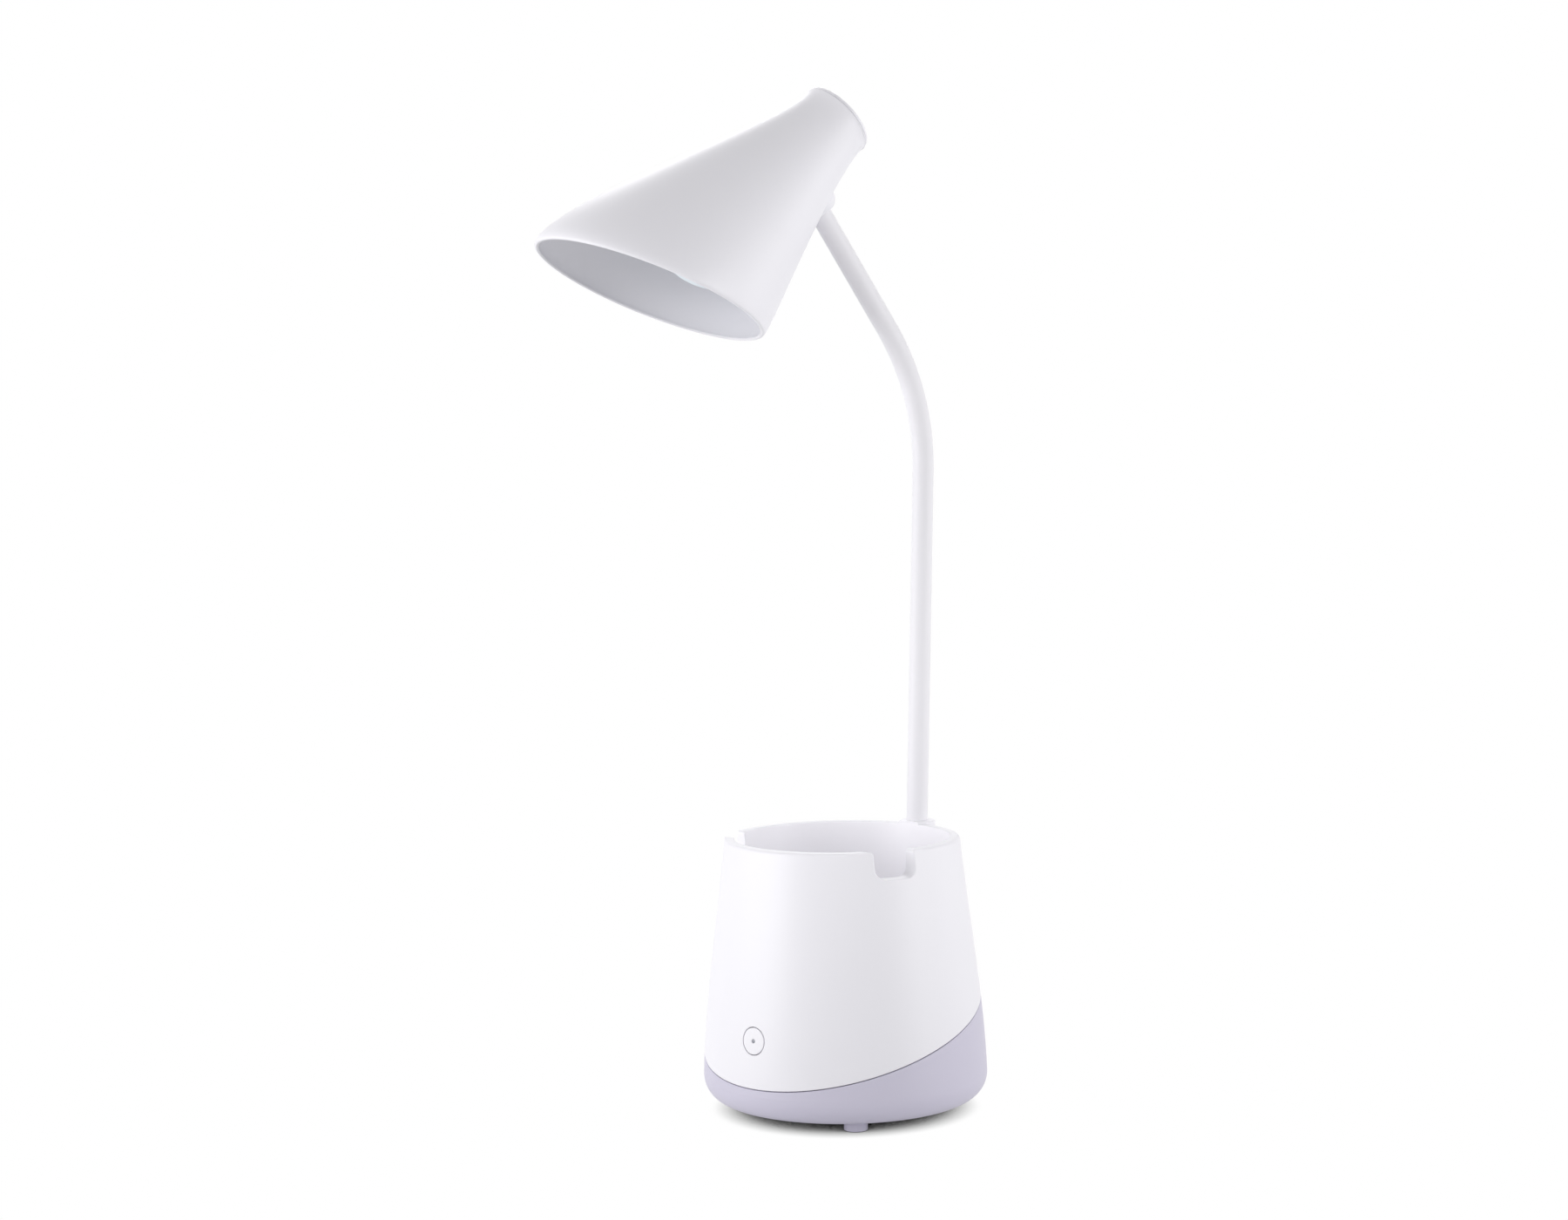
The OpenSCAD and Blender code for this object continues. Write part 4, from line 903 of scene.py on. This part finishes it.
def array_tree(name, material):
    """Geometry Nodes: copies of one shape spaced evenly on a circle."""
    tree, n, ids = geometry_tree(
        name, {"Shape": "Geometry", "Count": "Int", "Circle radius": "Float", "First angle": "Float"}, "Copies",
        material, circle="GeometryNodeMeshCircle", turn="GeometryNodeTransform", spin="ShaderNodeCombineXYZ",
        place="GeometryNodeInstanceOnPoints")
    wire(tree, n, "given.Count > circle.Vertices", "given.Circle radius > circle.Radius", "given.First angle > spin.Z",
         "circle.Mesh > turn.Geometry", "spin.Vector > turn.Rotation", "turn.Geometry > place.Points",
         "given.Shape > place.Instance", "place.Instances > real.Geometry")
    return tree, ids


def four_round(name, profile, material):
    """A round foot or pad at four places, where the frame's pads are."""
    _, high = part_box("foot_pads")
    circle = (high.x - PAD_RADIUS) * math.sqrt(2)
    tree, ids = array_tree(name + "_array", bpy.data.materials[material])
    values = {ids["Count"]: 4, ids["Circle radius"]: circle, ids["First angle"]: math.radians(45)}
    return shade_smooth(with_tree(revolve(name, profile, None, 48), tree, values), 45)


PAD_RADIUS = 3.3 * MM


def feet():
    """The moulded feet, each flaring into the underside, with a bore for its pad."""
    s = sizes()
    r, flare, low, soft, bore, depth = 4.5 * MM, 5.8 * MM, 0.3 * MM, 0.4 * MM, 3.4 * MM, 1.3 * MM
    straight, top = s.underside * 0.55, s.underside + 0.6 * MM
    profile = [(bore, depth), (bore, low + 0.2 * MM), (bore + 0.2 * MM, low)]
    profile += arc((r - soft, low + soft), soft, -90, 0, 5) + [(r, straight)]
    profile += [(r + (flare - r) * (1 - c), straight + (s.underside - straight) * si) for c, si in turns(0, 90, 8)[1:]]
    profile += [(flare, top), (bore, top)]
    return four_round("lamp_feet", profile, "Housing")


def foot_pads():
    """The rubber pads under the feet."""
    r, top, soft = PAD_RADIUS, 1.3 * MM, 0.3 * MM
    profile = [(0, 0), (r - 0.35 * MM, 0)] + arc((r - soft, soft), soft, -80, 0, 5) + [(r, top), (0, top)]
    return four_round("lamp_foot_pads", profile, "Rubber pad")


# ---- materials


def moulding_group():
    """The fine even grain of moulded plastic or rubber, with a slow drift in tone and gloss."""
    tree, n = shader_group(
        "Moulding grain",
        {"Colour": (0.8, 0.8, 0.8, 1), "Roughness": 0.4, "Drift": 0.02, "Grain size": 900.0, "Gloss change": 0.05},
        slow=NOISE, fine=NOISE, mid=NOISE, centred=MATH, amount=MATH, gloss=MATH, rough=MATH,
        toned="ShaderNodeVectorMath")
    set_inputs(n.slow, Scale=22, Detail=2)
    set_inputs(n.fine, Detail=3, Roughness=0.6)
    set_inputs(n.mid, Scale=160, Detail=3)
    n.toned.operation = "SCALE"
    n.centred.operation = n.gloss.operation = "SUBTRACT"
    n.centred.inputs[1].default_value = n.gloss.inputs[1].default_value = 0.5
    n.amount.operation = n.rough.operation = "MULTIPLY_ADD"
    n.amount.inputs[2].default_value = 1.0
    wire(tree, n, "place.Object > slow.Vector", "place.Object > fine.Vector", "place.Object > mid.Vector",
         "given.Grain size > fine.Scale", "slow.Fac > centred.0", "centred.0 > amount.0", "given.Drift > amount.1",
         "given.Colour > toned.0", "amount.0 > toned.Scale", "toned.0 > out.Colour",
         "mid.Fac > gloss.0", "gloss.0 > rough.0", "given.Gloss change > rough.1", "given.Roughness > rough.2",
         "rough.0 > out.Roughness", "fine.Fac > out.Height")
    return tree


def metal_group():
    """Plated or sheet metal: short brushed streaks and small stains."""
    tree, n = shader_group(
        "Metal streaks", {"Colour": (0.6, 0.6, 0.6, 1), "Roughness": 0.3, "Streaks": 0.15, "Size": 500.0},
        stretch="ShaderNodeMapping", streak=NOISE, stain=NOISE, shade_by="ShaderNodeMapRange",
        toned="ShaderNodeVectorMath", rough=MATH)
    set_inputs(n.stretch, Scale=(1, 1, 0.08))
    set_inputs(n.streak, Detail=4)
    set_inputs(n.stain, Scale=90)
    set_inputs(n.shade_by, To_Min=0.86, To_Max=1.08)
    n.toned.operation, n.rough.operation = "SCALE", "MULTIPLY_ADD"
    wire(tree, n, "place.Object > stretch.Vector", "stretch.Vector > streak.Vector", "place.Object > stain.Vector",
         "given.Size > streak.Scale", "stain.Fac > shade_by.Value", "given.Colour > toned.0",
         "shade_by.Result > toned.Scale", "toned.0 > out.Colour", "streak.Fac > rough.0", "given.Streaks > rough.1",
         "given.Roughness > rough.2", "rough.0 > out.Roughness", "streak.Fac > out.Height")
    return tree


GRAIN_DEPTH = 0.03 * MM


def new_material(name, group, values, bump, **sockets):
    """A material whose colour, roughness and bump come from a shared group.

    Plain numbers sit on the shader's own sockets.
    """
    material = bpy.data.materials.new(name)
    material.use_nodes = True
    tree = material.node_tree
    n = add_nodes(tree, grain="ShaderNodeGroup", relief="ShaderNodeBump")
    n.shader = tree.nodes["Principled BSDF"]
    n.grain.node_tree = group
    set_inputs(n.grain, **values)
    set_inputs(n.relief, Strength=bump, Distance=GRAIN_DEPTH)
    set_inputs(n.shader, **sockets)
    wire(tree, n, "grain.Colour > shader.Base Color", "grain.Roughness > shader.Roughness",
         "grain.Height > relief.Height", "relief.Normal > shader.Normal")


def make_materials():
    c = colours()
    mould, metal = moulding_group(), metal_group()

    def plastic(name, rgb, rough, drift=0.015, grain=1400, bump=0.06, **sockets):
        values = {"Colour": (*rgb, 1), "Roughness": rough, "Drift": drift, "Grain size": grain, "Gloss change": 0.04}
        new_material(name, mould, values, bump, **sockets)

    def metallic(name, rgb, rough, streaks=0.15):
        new_material(name, metal, {"Colour": (*rgb, 1), "Roughness": rough, "Streaks": streaks}, 0.1, Metallic=1.0)

    plastic("Shell", c.shell, 0.42, IOR=1.5)
    # A lighter copy of the shell's colour for the inside of the pen cup: painted light, brighter than the lamps make
    # the cup's inner walls.
    plastic("Cup lining", [min(0.96, v * 1.11) for v in c.shell], 0.42)
    # A darker copy of the shell's colour for the inside of the shade: painted shade, darker than the lamps make the
    # shade's inner wall.
    plastic("Shade lining", [v * 0.83 for v in c.shell], 0.5)
    plastic("Housing", c.housing, 0.45, drift=0.02)
    plastic("Neck sleeve", c.sleeve, 0.5, drift=0.006, bump=0.03)
    plastic("Rubber pad", (0.26, 0.25, 0.28), 0.75, drift=0.06, grain=900, bump=0.3)
    plastic("Frosted diffuser", c.diffuser, 0.38, drift=0.01, grain=2200,
            Subsurface_Weight=0.35, Subsurface_Radius=(0.004, 0.004, 0.004))
    plastic("Insulation", c.dark, 0.5, drift=0.1)
    plastic("Cradle", (0.015, 0.015, 0.017), 0.6, drift=0.1, bump=0.25)
    plastic("Circuit board", (0.012, 0.10, 0.045), 0.35, drift=0.12, grain=500)
    plastic("Board part", (0.02, 0.02, 0.022), 0.4, drift=0.1)
    plastic("Cell wrap", (0.05, 0.16, 0.33), 0.3, drift=0.05)
    plastic("Light rod", (0.30, 0.31, 0.35), 0.15, drift=0.01, bump=0.0)
    plastic("White board", (0.80, 0.80, 0.76), 0.35, drift=0.03)
    plastic("Phosphor", (0.85, 0.62, 0.12), 0.4, drift=0.05)
    metallic("Plated steel", c.steel, 0.25)
    metallic("Ballast plate", (0.30, 0.30, 0.31), 0.45, 0.25)
    metallic("Copper foil", (0.75, 0.42, 0.24), 0.3)


SLOT_MATERIALS = {
    "shell": "Shell", "housing": "Housing", "pad": "Rubber pad", "steel": "Plated steel", "ballast": "Ballast plate",
    "cell": "Cell wrap", "cradle": "Cradle", "lead": "Insulation", "board": "Circuit board", "part": "Board part",
    "lens": "Light rod", "copper": "Copper foil", "sleeve": "Neck sleeve", "led_plate": "White board",
    "chip": "Phosphor", "diffuser": "Frosted diffuser"}


# ---- operators


class LampOperator:
    bl_options = {"REGISTER", "UNDO"}


class LAMP_OT_finishes(LampOperator, bpy.types.Operator):
    """Make every material and give each carried-over part its own"""

    bl_idname = "lamp.finishes"
    bl_label = "Finishes"

    def execute(self, context):
        make_materials()
        for part in frame["record"]["subparts"]:
            node = frame["nodes"][part["node"]]
            node.data.materials.clear()
            node.data.materials.append(bpy.data.materials[SLOT_MATERIALS[part["material_slot"]]])
        return {"FINISHED"}


class LAMP_OT_shell(LampOperator, bpy.types.Operator):
    """Build the pale shell with its pen cup, phone slot and boss"""

    bl_idname = "lamp.shell"
    bl_label = "Shell"

    def execute(self, context):
        floor = sizes().cup_floor

        def in_cup(middles, normals):
            out, z = np.hypot(middles[:, 0], middles[:, 1]), middles[:, 2]
            return (out < cup_radius(z) + 0.2 * MM) & (z > floor - 0.5 * MM)

        # The cup's inner faces take a lighter copy of the shell's colour, which is painted light.
        line(finish(base_shell(), "base", "shell", "Shell", "cup_shell"), "Cup lining", in_cup)
        return {"FINISHED"}


class LAMP_OT_housing(LampOperator, bpy.types.Operator):
    """Build the lilac housing, its feet and their pads"""

    bl_idname = "lamp.housing"
    bl_label = "Housing"

    def execute(self, context):
        housing = join_meshes("lamp_housing", [base_housing(), feet()])
        finish(housing, "base", "housing", "Housing", "base_housing")
        finish(foot_pads(), "base", "pad", "Rubber pad", "foot_pads")
        return {"FINISHED"}


class LAMP_OT_key(LampOperator, bpy.types.Operator):
    """Build the touch key and its light"""

    bl_idname = "lamp.key"
    bl_label = "Touch key"

    def execute(self, context):
        finish(touch_key(), "base", "shell", "Shell", "touch_key")
        finish(key_light(), "base", "lens", "Light rod", "key_light")
        return {"FINISHED"}


class LAMP_OT_neck(LampOperator, bpy.types.Operator):
    """Build the neck's smooth sleeve across its joints, and the boss at its upper end"""

    bl_idname = "lamp.neck"
    bl_label = "Neck"

    def execute(self, context):
        neck_sleeves()
        finish(neck_collar(), "head", "shell", "Shell", "neck_collar")
        return {"FINISHED"}


class LAMP_OT_shade(LampOperator, bpy.types.Operator):
    """Build the horn-shaped shade and the cap on its closed end"""

    bl_idname = "lamp.shade"
    bl_label = "Shade"

    def execute(self, context):
        def in_horn(middles, normals):
            axis = np.array([(p[0], 0, p[1]) for p in map(spine_point, np.linspace(0, 1, 80))])
            axis = placed([axis], at_neck(neck_length()))[0]
            nearest = axis[np.linalg.norm(middles[:, None] - axis[None], axis=2).argmin(1)]
            return ((middles - nearest) * normals).sum(1) < 0

        # The shade's inner faces take a darker copy of the shell's colour, which is painted shade.
        line(finish(shade(), "head", "shell", "Shell", "shade"), "Shade lining", in_horn)
        finish(shade_cap(), "head", "shell", "Shell", "shade_cap")
        return {"FINISHED"}


class LAMP_OT_light(LampOperator, bpy.types.Operator):
    """Build the diffuser and the tray that holds it"""

    bl_idname = "lamp.light"
    bl_label = "Light"

    def execute(self, context):
        finish(diffuser(), "head", "diffuser", "Frosted diffuser", "diffuser")
        finish(lamp_tray(), "head", "shell", "Shell", "lamp_tray")
        return {"FINISHED"}


def area_light(name, place, size, power):
    """A soft panel of light, turned towards the lamp's middle."""
    light = bpy.data.lights.new(name, "AREA")
    light.shape, light.energy = "RECTANGLE", power
    light.size, light.size_y = size
    lamp = new_object(name, light)
    lamp.location = place
    lamp.rotation_euler = (Vector((0.0, 0.0, 0.2)) - Vector(place)).to_track_quat("-Z", "Y").to_euler()


def cup_light():
    """A soft narrow light from above the camera into the cup."""
    light = bpy.data.lights.new("cup_light_spot", "SPOT")
    light.energy, light.spot_size, light.spot_blend, light.shadow_soft_size = 34.0, math.radians(4.6), 1.0, 0.08
    lamp = new_object("cup_light_spot", light)
    far_wall, toward, distance = Vector((-0.026, 0.030, 0.095)), Vector((0.463, -0.535, 0.707)), 1.5
    lamp.location = far_wall + toward * distance
    lamp.rotation_euler = (-toward).to_track_quat("-Z", "Y").to_euler()


def seen_rays(tree):
    """1 for the rays that show a background: straight from the camera, in a gloss or through glass."""
    path = tree.nodes.new("ShaderNodeLightPath").outputs
    total = path["Is Camera Ray"]
    for name in ("Is Glossy Ray", "Is Transmission Ray"):
        join = tree.nodes.new(MATH)
        join.use_clamp = True
        tree.links.new(total, join.inputs[0])
        tree.links.new(path[name], join.inputs[1])
        total = join.outputs[0]
    return total


def ground_shade(tree):
    """The thin contact shadow: dark only where the floor lies deep under the lamp."""
    n = add_nodes(tree, open_sky="ShaderNodeAmbientOcclusion", spread="ShaderNodeMapRange", power=MATH)
    n.open_sky.samples = 24
    set_inputs(n.open_sky, Distance=0.04)
    set_inputs(n.spread, From_Min=0.06, From_Max=0.42)
    n.power.operation = "POWER"
    n.power.inputs[1].default_value = 0.42
    wire(tree, n, "open_sky.AO > spread.Value", "spread.Result > power.0")
    return n.power.outputs[0]


def show_apart(tree, plain, shown, out):
    """Shows one shader to the rays that see a background, and the other to all the rest."""
    mix = tree.nodes.new("ShaderNodeMixShader")
    tree.links.new(seen_rays(tree), mix.inputs["Fac"])
    for at, shader in ((1, plain), (2, shown)):
        tree.links.new(shader.outputs[0], mix.inputs[at])
    tree.links.new(mix.outputs[0], out.inputs["Surface"])


class LAMP_OT_stage(LampOperator, bpy.types.Operator):
    """Set up the pale floor, the soft lights, the world and the camera"""

    bl_idname = "lamp.stage"
    bl_label = "Stage"

    def execute(self, context):
        scene = context.scene
        # floor: a wide pale sheet that keeps the lamp's shadow
        w = 6.0
        floor = bpy.data.meshes.new("stage_floor")
        floor.from_pydata([(-w, -w, 0), (w, -w, 0), (w, w, 0), (-w, w, 0)], [], [(0, 1, 2, 3)])
        material = bpy.data.materials.new("Stage floor")
        material.use_nodes = True
        tree = material.node_tree
        plain, glow = tree.nodes["Principled BSDF"], tree.nodes.new("ShaderNodeEmission")
        set_inputs(plain, Base_Color=(0.86, 0.86, 0.865, 1), Roughness=0.9, Specular_IOR_Level=0.1)
        tree.links.new(ground_shade(tree), glow.inputs["Strength"])
        show_apart(tree, plain, glow, tree.nodes["Material Output"])
        floor.materials.append(material)
        new_object("stage_floor", floor)
        # world: soft even light, white where the camera or a gloss sees it
        scene.world = bpy.data.worlds.new("Stage world")
        scene.world.use_nodes = True
        tree = scene.world.node_tree
        even, seen = tree.nodes["Background"], tree.nodes.new("ShaderNodeBackground")
        set_inputs(even, Color=(1, 1, 1, 1), Strength=0.52)
        set_inputs(seen, Color=(1, 1, 1, 1), Strength=1.0)
        show_apart(tree, even, seen, tree.nodes["World Output"])
        upright = (0.6, 0.66)
        area_light("left_light_panel", (-0.551, -1.232, 0.36), upright, 6.75)
        area_light("side_light_panel", (-1.020, -0.884, 0.36), upright, 3.05)
        area_light("right_light_panel", (1.298, 0.370, 0.36), upright, 5.5)
        area_light("rear_light_panel", (0.75, 1.12, 0.36), upright, 1.8)
        area_light("high_light_panel", (-0.851, 0.983, 1.1), (0.8, 0.6), 5.9)
        cup_light()
        scene.view_settings.view_transform = "Standard"
        set_camera(scene)
        return {"FINISHED"}


def set_camera(scene):
    """The photograph's viewpoint, on the left-hand front of the lamp seen level with its cup."""
    turn, down, roll = math.radians(40.9), 0.0666, -0.0165
    right = Vector((math.cos(turn), math.sin(turn), 0))
    forward = Vector((-math.sin(turn) * math.cos(down), math.cos(turn) * math.cos(down), -math.sin(down)))
    fall = forward.cross(right)
    across = right * math.cos(roll) - fall * math.sin(roll)
    below = right * math.sin(roll) + fall * math.cos(roll)
    lens = bpy.data.cameras.new("Camera")
    lens.sensor_width, lens.sensor_fit = 36.0, "HORIZONTAL"
    lens.lens = 3288.86 / 1800 * 36.0
    lens.clip_start, lens.clip_end = 0.05, 50
    camera = new_object("Camera", lens)
    m = Matrix((across, -below, -forward)).transposed().to_4x4()
    m.translation = Vector((704.4, -845.2, 266.9)) * MM
    camera.matrix_world = m
    scene.camera = camera


class LAMP_PT_panel(bpy.types.Panel):
    bl_label = "Desk Lamp"
    bl_idname = "LAMP_PT_panel"
    bl_space_type = "VIEW_3D"
    bl_region_type = "UI"
    bl_category = "Desk Lamp"

    def draw(self, context):
        column = self.layout.column(align=True)
        for step in STEPS:
            column.operator(f"lamp.{step}")
        column = self.layout.column()
        for group in (context.scene.lamp_sizes, context.scene.lamp_colours):
            for key in group.__annotations__:
                column.prop(group, key)


STEPS = ("stage", "finishes", "shell", "housing", "key", "neck", "shade", "light")
CLASSES = (LampSizes, LampColours, LAMP_OT_stage, LAMP_OT_finishes, LAMP_OT_shell, LAMP_OT_housing, LAMP_OT_key,
           LAMP_OT_neck, LAMP_OT_shade, LAMP_OT_light, LAMP_PT_panel)


def register():
    for item in CLASSES:
        bpy.utils.register_class(item)
    bpy.types.Scene.lamp_sizes = PointerProperty(type=LampSizes)
    bpy.types.Scene.lamp_colours = PointerProperty(type=LampColours)


def unregister():
    del bpy.types.Scene.lamp_colours
    del bpy.types.Scene.lamp_sizes
    for item in reversed(CLASSES):
        bpy.utils.unregister_class(item)


def main():
    register()
    for step in STEPS:
        getattr(bpy.ops.lamp, step)()


if __name__ == "__main__":
    main()
